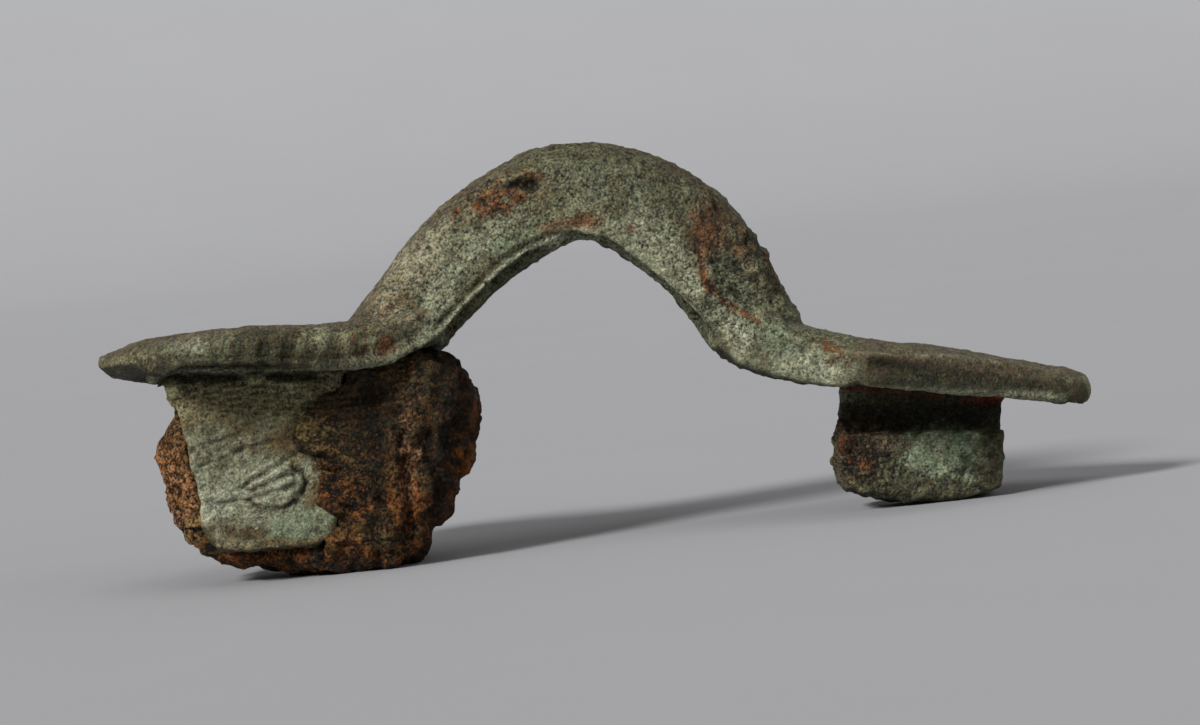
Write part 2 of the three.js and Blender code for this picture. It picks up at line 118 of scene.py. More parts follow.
def lattice(x, y, z, seed):
    """A fixed random number from 0 to 1 for each corner of a grid."""
    h = (x * 374761393 + y * 668265263 + z * 1442695041 + seed * 1274126177) & 0xFFFFFFFF
    h = ((h ^ (h >> 13)) * 1274126177) & 0xFFFFFFFF
    h = ((h ^ (h >> 16)) * 2246822519) & 0xFFFFFFFF
    return ((h ^ (h >> 15)) & 0xFFFFFF) / 0xFFFFFF


def noise(points, size, seed):
    """Smooth noise from -1 to 1, with lumps about as large as size."""
    p = points / size
    base = np.floor(p).astype(np.int64)
    f = p - base
    f = f * f * f * (f * (f * 6 - 15) + 10)
    total = 0.0
    for dx in (0, 1):
        for dy in (0, 1):
            for dz in (0, 1):
                weight = (
                    (f[:, 0] if dx else 1 - f[:, 0])
                    * (f[:, 1] if dy else 1 - f[:, 1])
                    * (f[:, 2] if dz else 1 - f[:, 2])
                )
                corner = lattice(base[:, 0] + dx, base[:, 1] + dy, base[:, 2] + dz, seed)
                total = total + weight * corner
    return total * 2 - 1


def layered(points, size, seed, layers=4, gain=0.5):
    """Noise of several sizes, each half of the one before."""
    total = 0.0
    reach = 0.0
    for i in range(layers):
        total = total + noise(points + 17.3 * i, size / 2**i, seed + i) * gain**i
        reach += gain**i
    return total / reach * 1.6


def dots(points, size, seed):
    """Distance to the nearest of scattered points, about 0 to 1, and that point's own random number."""
    p = points / size
    base = np.floor(p).astype(np.int64)
    best = np.full(len(p), 9.0)
    own = np.zeros(len(p))
    for dx in (-1, 0, 1):
        for dy in (-1, 0, 1):
            for dz in (-1, 0, 1):
                c = base + np.array([dx, dy, dz])
                x, y, z = c[:, 0], c[:, 1], c[:, 2]
                spot = c + np.stack([lattice(x, y, z, seed + k) for k in (1, 2, 3)], axis=1)
                far = np.linalg.norm(p - spot, axis=1)
                nearer = far < best
                best = np.where(nearer, far, best)
                own = np.where(nearer, lattice(x, y, z, seed + 4), own)
    return best, own


def smoothstep(low, high, x):
    """0 below low, 1 above high, and a smooth rise between them."""
    t = np.clip((x - low) / (high - low), 0, 1)
    return t * t * (3 - 2 * t)


def bell(x, middle, width):
    """1 at the middle, falling off smoothly to both sides."""
    return np.exp(-(((x - middle) / width) ** 2))


# Dense meshes.


def dense_copy(name, node, voxel):
    """A node's form as a fine, even mesh. Returns the object."""
    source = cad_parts[node]
    mesh = source.data.copy()
    mesh.transform(Matrix.Scale(1 / MM, 4))
    mesh.materials.clear()
    rough = bpy.data.objects.new(name + "_rough", mesh)
    bpy.context.scene.collection.objects.link(rough)
    remesh = rough.modifiers.new("even", "REMESH")
    remesh.mode = "VOXEL"
    remesh.voxel_size = voxel
    remesh.adaptivity = 0.0
    graph = bpy.context.evaluated_depsgraph_get()
    fine = bpy.data.meshes.new_from_object(rough.evaluated_get(graph))
    bpy.data.objects.remove(rough)
    fine.name = name
    piece = bpy.data.objects.new(name, fine)
    bpy.context.scene.collection.objects.link(piece)
    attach(piece, "root")
    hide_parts(node)
    return piece


def points_of(mesh):
    flat = np.empty(len(mesh.vertices) * 3)
    mesh.vertices.foreach_get("co", flat)
    return flat.reshape(-1, 3)


def normals_of(mesh, points):
    mesh.vertices.foreach_set("co", points.ravel())
    mesh.update()
    flat = np.empty(len(mesh.vertices) * 3)
    mesh.vertex_normals.foreach_get("vector", flat)
    return flat.reshape(-1, 3)


class Smoother:
    """Averages values over a mesh's neighbouring points."""

    def __init__(self, mesh):
        edges = np.empty(len(mesh.edges) * 2, np.int64)
        mesh.edges.foreach_get("vertices", edges)
        self.a, self.b = edges.reshape(-1, 2).T
        self.count = len(mesh.vertices)
        ends = np.concatenate([self.a, self.b])
        self.degree = np.maximum(np.bincount(ends, minlength=self.count), 1)

    def mean(self, values):
        total = np.bincount(self.a, values[self.b], self.count)
        total += np.bincount(self.b, values[self.a], self.count)
        return total / self.degree

    def smooth(self, values, rounds, keep=0.5):
        if values.ndim == 1:
            for _ in range(rounds):
                values = values * keep + self.mean(values) * (1 - keep)
            return values
        return np.stack([self.smooth(column, rounds, keep) for column in values.T], axis=1)


# Patches: places in the photograph's pixels.


def spot(pixels, x, y, rx, ry, turn=0.0, ragged=0.0, edge=0.35):
    """1 inside an ellipse and 0 outside, turned by degrees, with an edge made uneven by ragged."""
    t = math.radians(turn)
    dx, dy = pixels[:, 0] - x, pixels[:, 1] - y
    u = (dx * math.cos(t) + dy * math.sin(t)) / rx
    v = (-dx * math.sin(t) + dy * math.cos(t)) / ry
    return 1 - smoothstep(1 - edge, 1 + edge, np.sqrt(u * u + v * v) + ragged)


def bumps(pixels, rows, ragged):
    """The heights of bumps and hollows, each row of which is a height and then a patch's shape."""
    return sum(height * spot(pixels, *shape, ragged=ragged) for height, *shape in rows)


def beside(pixels, line):
    """Distance in pixels from a line, positive on its left as it is drawn on the picture."""
    best = np.full(len(pixels), 1e9)
    signed = best.copy()
    for (x0, y0), (x1, y1) in zip(line[:-1], line[1:]):
        d = np.array([x1 - x0, y1 - y0], float)
        away = pixels - (x0, y0)
        t = np.clip((away @ d) / (d @ d), 0, 1)
        far = np.linalg.norm(away - t[:, None] * d, axis=1)
        side = np.sign(d[1] * away[:, 0] - d[0] * away[:, 1])
        nearer = far < best
        signed = np.where(nearer, far * side, signed)
        best = np.where(nearer, far, best)
    return signed


def stroke(pixels, line, width, ragged=0.0):
    """1 along a line through pixels, fading out at half the width to both sides."""
    return 1 - smoothstep(0.5, 1.2, np.abs(beside(pixels, line)) / (width / 2) + ragged)


def srgb(*values):
    """A colour given from 0 to 255 as a picture shows it, in the linear values that shaders take."""
    v = np.array(values, float) / 255
    return np.where(v <= 0.04045, v / 12.92, ((v + 0.055) / 1.055) ** 2.4)


def blend(colours, colour, amount):
    """Colours moved towards another colour by an amount for each point."""
    return colours + (colour - colours) * np.clip(amount, 0, 1)[:, None]


class Coat:
    """Colours laid one over another. Patches, flecks and lines go on the near side, placed in pixels."""

    def __init__(self, ground, pixels, near, ragged, torn):
        self.colours = np.tile(ground, (len(pixels), 1))
        self.pixels = pixels
        self.near = near
        self.ragged = ragged
        self.torn = torn

    def over(self, colour, amount):
        self.colours = blend(self.colours, colour, amount)

    def patch(self, colour, amount, *shape, tear=None):
        """A filled patch, its edge made uneven by tear, or by the coat's own ragged noise."""
        tear = self.ragged if tear is None else tear
        self.over(colour, self.near * amount * spot(self.pixels, *shape, ragged=tear))

    def flecks(self, colour, amount, *shape):
        """A patch torn into small fragments."""
        where = spot(self.pixels, *shape, ragged=self.ragged, edge=0.5)
        self.over(colour, self.near * amount * (where * smoothstep(-0.15, 0.25, self.torn)))

    def line(self, colour, amount, width, places, tear=None):
        tear = self.ragged if tear is None else tear
        self.over(colour, self.near * amount * stroke(self.pixels, places, width, tear))


def store(mesh, name, values):
    if values.ndim == 1:
        layer = mesh.attributes.new(name, "FLOAT", "POINT")
        layer.data.foreach_set("value", values.astype(np.float32))
        return
    rgba = np.concatenate([values, np.ones((len(values), 1))], axis=1)
    layer = mesh.attributes.new(name, "FLOAT_COLOR", "POINT")
    layer.data.foreach_set("color", rgba.astype(np.float32).ravel())


def finish_mesh(piece, points):
    piece.data.vertices.foreach_set("co", (points * MM).ravel())
    piece.data.update()
    piece.data.polygons.foreach_set("use_smooth", np.ones(len(piece.data.polygons), bool))


# The casting.

PALE = srgb(166, 168, 138)
BRIGHT = srgb(184, 186, 158)
SAND = srgb(156, 152, 114)
GREY_GREEN = srgb(128, 132, 105)
OLIVE = srgb(102, 101, 74)
DARK_OLIVE = srgb(66, 63, 41)
BLACK_OLIVE = srgb(20, 20, 11)
BROWN = srgb(96, 76, 44)
PINK_BROWN = srgb(160, 140, 112)
PURPLE_BROWN = srgb(108, 92, 70)
ORANGE_RUST = srgb(124, 68, 26)
DARK_RUST = srgb(68, 40, 16)
TURQUOISE = srgb(116, 144, 112)
TEAL = srgb(42, 60, 42)
CUPRITE = srgb(138, 46, 28)
RUST_WASH = srgb(66, 56, 34)

# Lines along the brooch, in pixels, from the head to the foot.
BOW_RIM = [
    (440, 330), (467, 300), (497, 270), (522, 252), (547, 241), (573, 236), (603, 238),
    (623, 250), (650, 273), (677, 297), (697, 320), (717, 343), (733, 360),
]
BOW_OUTSIDE = [
    (362, 318), (380, 276), (410, 236), (450, 194), (500, 160), (545, 145), (600, 141),
    (650, 152), (695, 180), (735, 222), (768, 272), (790, 315),
]
NECK_BASE = [(717, 343), (740, 362), (775, 378), (820, 386), (866, 390)]
HEAD_LIP = [(118, 372), (150, 371), (200, 370), (270, 370), (340, 366), (385, 359), (420, 345), (440, 330)]
FOOT_CREASE = [(846, 356), (869, 353), (920, 356), (1012, 364), (1076, 372)]
FOOT_BAND = [(872, 366), (960, 376), (1060, 388)]
FOOT_BASE = [(862, 389), (940, 394), (1060, 398)]

# The middle of the arch, and how far from the bow's rim its underside reaches, in pixels.
BOW_MIDDLE = np.array([590.0, 345.0])
RIM_REACH = 34

# How far the near rim under the bow is raised, in millimetres, at places along the picture.
RIM_SWELL = [
    (430, -0.4), (470, -0.42), (530, -0.3), (558, 0.1), (585, 0.28), (620, 0.28),
    (650, 0.22), (700, 0.15), (735, 0.3), (750, 0.3), (832, 0.0), (850, 0.0),
]

# Bumps and hollows: a height in millimetres, then a patch's place, radii and turn.
# The first ones are on the side that faces the camera, and the others under the head plate's lip.
CASTING_BUMPS = [
    (-0.30, 524, 183, 17, 5, -10),
    (-0.26, 531, 186, 7, 6),
    (-0.22, 484, 201, 8, 4, -20),
    (-0.20, 424, 320, 10, 4, 40),
    (0.10, 745, 262, 28, 44, 35),
    (0.10, 452, 255, 24, 18, -50),
    (-0.12, 790, 350, 10, 12),
    (-0.10, 756, 352, 8, 8),
    (0.10, 936, 455, 36, 22),
    (-0.12, 245, 533, 26, 7, 5),
]
LIP_BUMPS = [
    (-0.30, 196, 378, 44, 5),
    (-0.30, 292, 377, 24, 4),
    (0.30, 255, 379, 10, 5),
    (0.22, 275, 381, 8, 4),
]

# The flutes across the head plate's edge: a place in pixels, and a depth in millimetres.
HEAD_FLUTES = [
    (216, 345, 0.08), (240, 348, 0.08), (264, 350, 0.22), (290, 352, 0.14),
    (313, 346, 0.10), (338, 345, 0.10), (364, 342, 0.10),
]

# Depths from the middle of the brooch, in millimetres, between which its near part ends.
NEAR_DEPTHS = (-2.6, -1.8)

# The distance between the outer faces of the two lugs, in millimetres.
LUG_SPAN = 7.2

# Cracks along the folds on the near lug, in pixels.
LUG_CRACKS = (
    [(243, 488), (250, 478), (271, 466), (300, 451), (322, 444)],
    [(196, 467), (225, 456), (241, 449), (271, 441), (300, 438)],
    [(193, 449), (216, 441), (240, 432)],
    [(204, 500), (222, 503), (240, 498)],
)

# The curved grooves are this many pixels apart. The fan on the boss spreads from a place in pixels, and
# a full turn would hold this many of its rays.
GROOVE_PITCH = 6.5
FAN_ROOT = (190, 515)
FAN_RAYS = 52


def inward(normals, pixels):
    """How much a point of the bow faces the middle of the arch, in the picture."""
    toward = (BOW_MIDDLE - pixels) * (1, -1)
    toward /= np.maximum(np.linalg.norm(toward, axis=1, keepdims=True), 1.0)
    facing = toward[:, 0] * (normals @ RIGHT) + toward[:, 1] * (normals @ UP)
    return facing * (np.abs(beside(pixels, BOW_RIM)) < RIM_REACH)


def near_side(points):
    """1 on the near part of the casting, whichever way its surface faces."""
    return 1 - smoothstep(*NEAR_DEPTHS, (points - TARGET) @ ACROSS)


def casting_relief(points, normals, pixels, near):
    """How far the casting's surface rises above its plain form, in millimetres."""
    x, y = pixels[:, 0], pixels[:, 1]
    close = near_side(points)
    rise = 0.06 * layered(points, 3.2, 11, 3) + 0.06 * layered(points, 1.3, 12, 4)
    rise += 0.07 * layered(points, 0.5, 13, 2)
    far, own = dots(points, 0.9, 21)
    pit = (own < 0.3) * (1 - smoothstep(0.12, 0.42, far))
    rise -= 0.12 * pit * (0.4 + own * 2)
    far, own = dots(points, 0.5, 31)
    rise += 0.07 * (own > 0.5) * (1 - smoothstep(0.1, 0.5, far))
    plates = np.maximum(1 - smoothstep(380, 430, x), smoothstep(830, 870, x)) * (1 - smoothstep(425, 445, y))
    rise *= 1 - 0.5 * plates

    # The near rim of the bow's underside: worn back on the legs, and thicker at the foot plate's neck.
    inner = inward(normals, pixels)
    across = (points - TARGET) @ ACROSS
    middle = (across[inner > 0.9].min() + across[inner > 0.9].max()) / 2
    near_half = 1 - smoothstep(-2.8, -2.2, across - middle)
    rim_face = smoothstep(0.2, 0.7, inner) * near_half
    along, swell = np.array(RIM_SWELL).T
    rise += rim_face * np.interp(x, along, swell)

    # Fitted to the photograph's outline: fuller under the neck, lower on top of it and on the left leg.
    down = smoothstep(0.3, 0.8, -(normals @ TOPWARD))
    neck = (1 - smoothstep(10, 18, np.abs(beside(pixels, NECK_BASE)))) * (1 - smoothstep(838, 856, x))
    rise += 0.26 * down * near_half * neck
    upward = smoothstep(0.3, 0.8, normals @ TOPWARD)
    rise -= 0.2 * upward * smoothstep(775, 795, x) * (1 - smoothstep(890, 930, x))
    rise -= 0.26 * spot(pixels, 472, 182, 46, 20, -40, edge=0.7)
    ragged = 0.25 * layered(points, 0.8, 41, 3)
    torn = 0.5 * layered(points, 0.5, 42, 3)

    # Bumps and hollows on the whole near side.
    rise += near * bumps(pixels, CASTING_BUMPS, ragged)

    # On the bow: the crater's raised rim, the nib, the crust on the right, a crack and the lower rim.
    rise += near * 0.10 * spot(pixels, 506, 190, 36, 17, -20, torn)
    rise += 0.13 * spot(pixels, 766, 254, 5, 4, 40)
    rise += near * 0.10 * spot(pixels, 396, 250, 9, 7, 0)
    rise += near * 0.16 * layered(points, 0.7, 43, 3) * spot(pixels, 735, 270, 44, 60, 30, ragged)
    rise += near * 0.12 * layered(points, 0.6, 44, 2) * spot(pixels, 398, 306, 30, 16, 30, ragged)
    rise -= near * 0.10 * stroke(pixels, [(696, 250), (706, 282), (728, 304), (759, 323)], 5, ragged)
    rim = beside(pixels, BOW_RIM) + 1.5 * ragged
    rise += close * 0.13 * bell(rim, -1, 2.6)
    rise -= close * 0.13 * bell(rim, 5, 3.0)
    rise += near * 0.05 * bell(rim, 10, 3.0)

    # The head plate's edge: a rounded roll, flutes across it, and a turned lower lip over a dark gap.
    for u, v, depth in HEAD_FLUTES:
        rise -= near * depth * spot(pixels, u, v, 7, 17, 4, ragged)
    lip = beside(pixels, HEAD_LIP) + 1.5 * ragged
    rise += close * 0.17 * bell(lip, 0, 2.8)
    rise += close * 0.40 * spot(pixels, 174, 386, 8, 13, -30, 1.4 * torn)
    rise -= near * 0.12 * bell(lip, 10, 5.0) * smoothstep(140, 180, x)
    along_lip = (1 - smoothstep(8, 20, np.abs(lip))) * (1 - smoothstep(385, 410, x)) * smoothstep(130, 170, x)
    rise += 0.22 * down * near * along_lip
    rise += close * 0.42 * down * smoothstep(134, 156, x) * (1 - smoothstep(174, 186, x)) * (1 + 0.6 * torn)
    rise -= 0.2 * upward * (1 - smoothstep(112, 140, x))
    rise += close * bumps(pixels, LIP_BUMPS, ragged)

    # The foot plate's edge: a sunk band between two raised lines.
    crease = beside(pixels, FOOT_CREASE) + 1.5 * ragged
    foot = smoothstep(850, 880, x) * (1 - smoothstep(398, 402, y))
    rise += close * foot * 0.12 * bell(crease, 0, 3.5)
    rise -= close * foot * 0.12 * bell(crease, -9, 5.0)
    rise += foot * 0.16 * spot(pixels, 1076, 384, 32, 22, 0, ragged)
    rise += foot * 0.26 * smoothstep(1040, 1084, x) * smoothstep(0.1, 0.8, normals @ RIGHT)
    rise -= near * 0.12 * stroke(pixels, FOOT_BAND, 14, ragged * 0.6)
    rise += near * 0.12 * stroke(pixels, FOOT_BASE, 8, ragged)

    # The catch: crust on the bow's end of the lip, and a knobbly bottom edge.
    crust = spot(pixels, 862, 458, 38, 38, 0, torn)
    rise += crust * near * (0.06 + 0.20 * layered(points, 0.45, 45, 3))
    rise += 0.22 * spot(pixels, 840, 456, 10, 30, 0) * (0.3 + layered(points, 0.5, 50, 3))
    rise += 0.08 * layered(points, 0.6, 46, 2) * spot(pixels, 920, 496, 90, 12)

    # The near lug: grooves running round under the plate, the fan on its boss, and the smooth tongue.
    upper = spot(pixels, 262, 408, 100, 26, 0)
    rise += near * upper * 0.06 * np.sin(striation(points, pixels))
    step = smoothstep(497, 503, y + 0.12 * (x - 250) + 6 * layered(points, 1.4, 49, 3))
    rise += near * 0.10 * step * spot(pixels, 240, 515, 70, 30)
    fan = spot(pixels, 268, 485, 32, 22, -22, ragged * 0.4)
    rise += near * fan * 0.10 * np.sin(fan_angle(pixels) * FAN_RAYS + 0.6 * layered(points, 1.2, 48, 2))
    rise -= near * 0.16 * stroke(pixels, [(292, 466), (302, 472), (306, 482), (302, 492)], 5, ragged * 0.4)
    rise += near * 0.10 * stroke(pixels, [(288, 468), (297, 474), (301, 482), (298, 490)], 4)
    rise -= near * 0.16 * stroke(pixels, [(246, 500), (262, 508), (284, 507), (296, 500)], 5, ragged)
    rise += near * 0.16 * spot(pixels, 300, 524, 36, 13, -14, ragged * 0.5)
    for crack in LUG_CRACKS:
        rise -= near * 0.10 * stroke(pixels, crack, 4, 1.6 * ragged)
    pale = spot(pixels, 245, 480, 75, 62, 0)
    far, own = dots(points, 0.42, 51)
    rise -= near * pale * (1 - fan) * 0.10 * (own < 0.45) * (1 - smoothstep(0.1, 0.45, far))
    return rise


def striation(points, pixels):
    """The phase of the curved grooves that run over the lugs and on over the rust."""
    x, y = pixels[:, 0], pixels[:, 1]
    return (y + 0.0006 * (x - 290) ** 2 + 3.0 * layered(points, 2.2, 47, 2)) * 2 * math.pi / GROOVE_PITCH


def fan_angle(pixels):
    """The direction of a place as seen from the root of the fan, in radians."""
    return np.arctan2(pixels[:, 1] - FAN_ROOT[1], pixels[:, 0] - FAN_ROOT[0])


def casting_grain(pixels, near):
    """How coarse the crust looks: finer on the plates, the neck and the lug, coarser on rusty crust."""
    x, y = pixels[:, 0], pixels[:, 1]
    head = (1 - smoothstep(390, 430, x)) * (1 - smoothstep(430, 450, y))
    foot = smoothstep(835, 875, x)
    tongue = spot(pixels, 302, 524, 40, 16, -14)
    lug = spot(pixels, 245, 478, 84, 72)
    neck = spot(pixels, 800, 362, 90, 26)
    crumbly = spot(pixels, 862, 455, 36, 34) + 0.4 * spot(pixels, 930, 488, 90, 20)
    crater = spot(pixels, 500, 196, 46, 20, -24)
    stain = spot(pixels, 736, 262, 34, 56, 30)
    calm = np.clip(0.1 * head + 0.35 * foot + 0.25 * tongue + 0.4 * lug + 0.3 * neck, 0, 0.6)
    return 1.1 - near * (calm - 1.1 * crumbly - 0.4 * crater - 0.4 * stain)


def casting_colours(points, normals, pixels, near, hollow):
    """The casting's colour at each point: the ground first, then each part's patches, then painted shade and
    painted highlights.
    """
    ragged = 0.5 * layered(points, 1.0, 61, 5, 0.65)
    torn = 0.9 * layered(points, 0.55, 60, 4, 0.7)
    broad = layered(points, 2.6, 62, 3)
    fine = layered(points, 0.7, 63, 3)
    facing = normals @ TOPWARD
    top = smoothstep(0.35, 0.85, facing)
    under = smoothstep(0.35, 0.8, -facing)
    x, y = pixels[:, 0], pixels[:, 1]
    close = near_side(points)
    coat = Coat(GREY_GREEN, pixels, near, ragged, torn)
    over, paint, flecks, line = coat.over, coat.patch, coat.flecks, coat.line
    over(SAND, smoothstep(-0.2, 0.9, broad) * 0.45)
    over(OLIVE, smoothstep(0.0, 0.9, -fine) * 0.5)
    over(OLIVE, top * (0.35 + 0.4 * smoothstep(-0.3, 0.6, fine)))

    # Everywhere, also on the far side: rusty, brown and turquoise patches.
    patch = layered(points + 40, 3.4, 64, 4)
    over(BROWN, smoothstep(0.35, 0.6, patch + 0.3 * torn) * (0.8 - 0.4 * near))
    over(ORANGE_RUST, smoothstep(0.62, 0.8, patch + 0.3 * torn) * 0.7 * (1 - near))
    patch = layered(points - 40, 2.8, 65, 4)
    over(TURQUOISE, smoothstep(0.5, 0.8, patch + 0.3 * torn) * (0.5 - 0.3 * near))

    # The plates.
    head = 1 - smoothstep(372, 425, x + 40 * ragged)
    plate = head * (1 - smoothstep(371, 376, y))
    over(blend(np.tile(OLIVE, (len(points), 1)), SAND, smoothstep(-0.1, 0.7, fine) * 0.5), plate * 0.9)
    over(PURPLE_BROWN, plate * smoothstep(0.1, 0.5, broad + 0.3 * top) * 0.6)
    foot = smoothstep(838, 878, x + 25 * ragged) * (1 - smoothstep(398, 406, y))
    # Painted shade on the foot plate's near side below its top.
    over(DARK_OLIVE, foot * near * (1 - top) * 0.95)
    over(PURPLE_BROWN, foot * (0.6 * top + 0.22 * smoothstep(-0.1, 0.5, fine)))

    # The bow.
    line(OLIVE, 0.9, 56, BOW_OUTSIDE[4:9])
    flecks(DARK_OLIVE, 0.6, 640, 176, 70, 30, 20)
    paint(OLIVE, 0.6, 672, 196, 36, 24, 40)
    line(PURPLE_BROWN, 0.6, 22, BOW_OUTSIDE[:5])
    line(BROWN, 0.7, 7, BOW_OUTSIDE[3:11])
    line(PURPLE_BROWN * 0.8, 0.7, 10, [(377, 287), (413, 246), (444, 208), (482, 180), (516, 169)], torn)
    flecks(DARK_RUST, 0.7, 740, 240, 34, 60, -35)
    paint(PINK_BROWN * 0.7 + PALE * 0.55, 0.7, 412, 270, 20, 52, 33)
    paint(PALE, 0.55, 434, 300, 18, 30, 40)
    paint(PALE, 0.6, 486, 238, 46, 13, -42)
    paint(TURQUOISE, 0.35, 516, 236, 28, 9, -28)
    paint(PALE, 0.4, 600, 226, 50, 8)
    paint(PALE, 0.8, 666, 256, 26, 52, -42)
    paint(BROWN, 0.5, 498, 196, 52, 14, -24)
    flecks(ORANGE_RUST, 0.8, 504, 196, 46, 14, -24)
    flecks(ORANGE_RUST, 0.9, 470, 206, 16, 8, -20)
    flecks(ORANGE_RUST, 0.8, 508, 179, 26, 5, -20)
    flecks(ORANGE_RUST, 0.7, 506, 210, 14, 8, -20)
    paint(DARK_RUST, 0.8, 518, 184, 22, 7, -10)
    paint(BLACK_OLIVE, 0.95, 531, 186, 9, 6, -10)
    paint(BLACK_OLIVE, 0.8, 505, 186, 12, 4, -24)
    flecks(ORANGE_RUST, 0.85, 572, 222, 32, 8, -8)
    paint(ORANGE_RUST, 0.7, 583, 221, 9, 6, -8, tear=torn)
    paint(ORANGE_RUST, 0.6, 562, 225, 22, 5, -8, tear=torn)
    paint(ORANGE_RUST, 0.7, 631, 229, 5, 4)
    paint(ORANGE_RUST, 0.6, 480, 273, 5, 4)
    paint(BLACK_OLIVE, 0.8, 424, 320, 10, 4, 40)
    flecks(PINK_BROWN, 0.8, 392, 306, 36, 16, 30)
    flecks(BROWN, 0.7, 404, 298, 30, 24, 30)
    flecks(BROWN, 0.8, 706, 236, 26, 34, -10)
    paint(ORANGE_RUST * (1.0, 0.9, 0.6), 0.75, 706, 232, 14, 24, -6, tear=torn)
    paint(DARK_RUST, 0.75, 712, 216, 12, 12, tear=torn)
    flecks(DARK_RUST, 0.8, 708, 240, 18, 26, -10)
    paint(DARK_OLIVE, 0.75, 742, 264, 28, 46, 30)
    flecks(TEAL, 0.9, 742, 276, 26, 30, 20)
    paint(BLACK_OLIVE, 0.6, 728, 262, 7, 10, 20, tear=torn)
    flecks(BROWN, 0.8, 762, 270, 16, 34, -30)
    flecks(SAND, 0.6, 746, 302, 24, 14, 30)
    flecks(ORANGE_RUST, 0.4, 748, 250, 18, 20, 30)
    flecks(GREY_GREEN, 0.7, 740, 284, 24, 24, 20)
    line(ORANGE_RUST, 0.95, 6, [(700, 256), (704, 280), (722, 300), (759, 323)])
    line(ORANGE_RUST, 0.8, 10, [(701, 272), (709, 290)])
    paint(PALE, 0.9, 745, 346, 26, 22, 20)
    flecks(BRIGHT, 0.6, 735, 340, 16, 18, 20)
    paint(PALE, 0.85, 812, 364, 42, 15, 8)
    flecks(BRIGHT, 0.7, 806, 364, 30, 9, 8)
    paint(BRIGHT, 0.7, 826, 371, 12, 8, 8)
    flecks(BROWN, 0.7, 812, 342, 22, 7, 10)
    flecks(DARK_OLIVE, 0.8, 816, 346, 16, 8)
    flecks(ORANGE_RUST, 0.7, 832, 350, 14, 14)
    flecks(ORANGE_RUST, 0.6, 846, 360, 14, 14)
    flecks(TURQUOISE * 0.6 + PALE * 0.4, 0.8, 784, 346, 18, 14)
    paint(DARK_OLIVE, 0.6, 757, 350, 7, 11, 10, tear=torn)
    flecks(OLIVE, 0.7, 764, 364, 30, 12, 20)
    line(CUPRITE, 0.8, 5, [(790, 379), (835, 387), (875, 390)])
    # A painted highlight along the bow's near rim, with painted shade in the groove beside it.
    rim = beside(pixels, BOW_RIM) + 1.5 * ragged
    over(OLIVE, near * 0.6 * bell(rim, 7, 4.0))
    over(PALE, near * 0.75 * bell(rim, 0, 2.5))

    # The head plate.
    flecks(DARK_OLIVE, 0.5, 250, 345, 130, 18)
    flecks(PURPLE_BROWN, 0.6, 210, 338, 60, 8, -6)
    paint(SAND, 0.5, 130, 360, 24, 7, -12)
    flecks(BROWN, 0.7, 120, 358, 20, 8, -14)
    flecks(DARK_OLIVE, 0.5, 150, 354, 46, 12, -8)
    flecks(BRIGHT, 0.45, 205, 345, 44, 10, -3)
    paint(PALE, 0.5, 318, 340, 12, 12)
    paint(PALE, 0.5, 350, 345, 12, 12, tear=torn)
    flecks(BROWN, 0.8, 338, 350, 50, 10)
    flecks(DARK_OLIVE, 0.7, 290, 352, 60, 12)
    flecks(BLACK_OLIVE, 0.7, 160, 362, 24, 6)
    paint(DARK_OLIVE, 0.9, 262, 350, 38, 20)
    paint(DARK_OLIVE, 0.6, 310, 358, 46, 10)
    paint(SAND, 0.5, 312, 340, 12, 14)
    paint(SAND, 0.6, 352, 346, 24, 14)
    paint(ORANGE_RUST, 0.7, 387, 347, 9, 8, tear=torn)
    flecks(ORANGE_RUST, 0.9, 386, 345, 18, 14)
    flecks(ORANGE_RUST, 0.7, 364, 338, 12, 9)
    flecks(DARK_RUST, 0.7, 352, 358, 18, 6)
    paint(PALE, 0.6, 430, 328, 10, 20, 30)
    line(PURPLE_BROWN, 0.6, 7, [(110, 352), (150, 340), (240, 328), (330, 323), (400, 326)])
    lip = beside(pixels, HEAD_LIP) + 1.5 * ragged
    over(GREY_GREEN, near * 0.8 * bell(lip, 1, 3.0))
    # Painted shadow under the head plate's lip, darkest where the lip stands open.
    lip_shadow = bell(lip, -6, 3.2) * smoothstep(146, 160, x) * (1 - smoothstep(400, 420, x))
    open_lip_shadow = (x < 238) + (x > 268) * (x < 314)

    # The foot plate.
    crease = beside(pixels, FOOT_CREASE) + 2 * ragged
    # Painted shade on the foot plate's near side below the crease.
    face_shade = foot * close * (1 - smoothstep(-6, 1, crease))
    over(DARK_OLIVE * 0.8, face_shade * 0.85)
    flecks(PURPLE_BROWN, 0.7, 970, 368, 110, 8, 8)
    over(PURPLE_BROWN, foot * close * 0.7 * bell(crease, -4, 5.0))
    # A painted highlight along the crease.
    over(PALE, foot * close * 0.5 * bell(crease, 1, 2.5) * smoothstep(-0.3, 0.3, fine))
    flecks(BLACK_OLIVE, 0.6, 960, 380, 110, 8, 4)
    flecks(CUPRITE, 0.7, 925, 395, 60, 2.5, 5)
    paint(CUPRITE * 1.2, 0.95, 984, 402, 18, 5, tear=torn)
    flecks(PURPLE_BROWN, 0.8, 872, 366, 26, 16)
    paint(SAND, 0.7, 1084, 386, 7, 13)

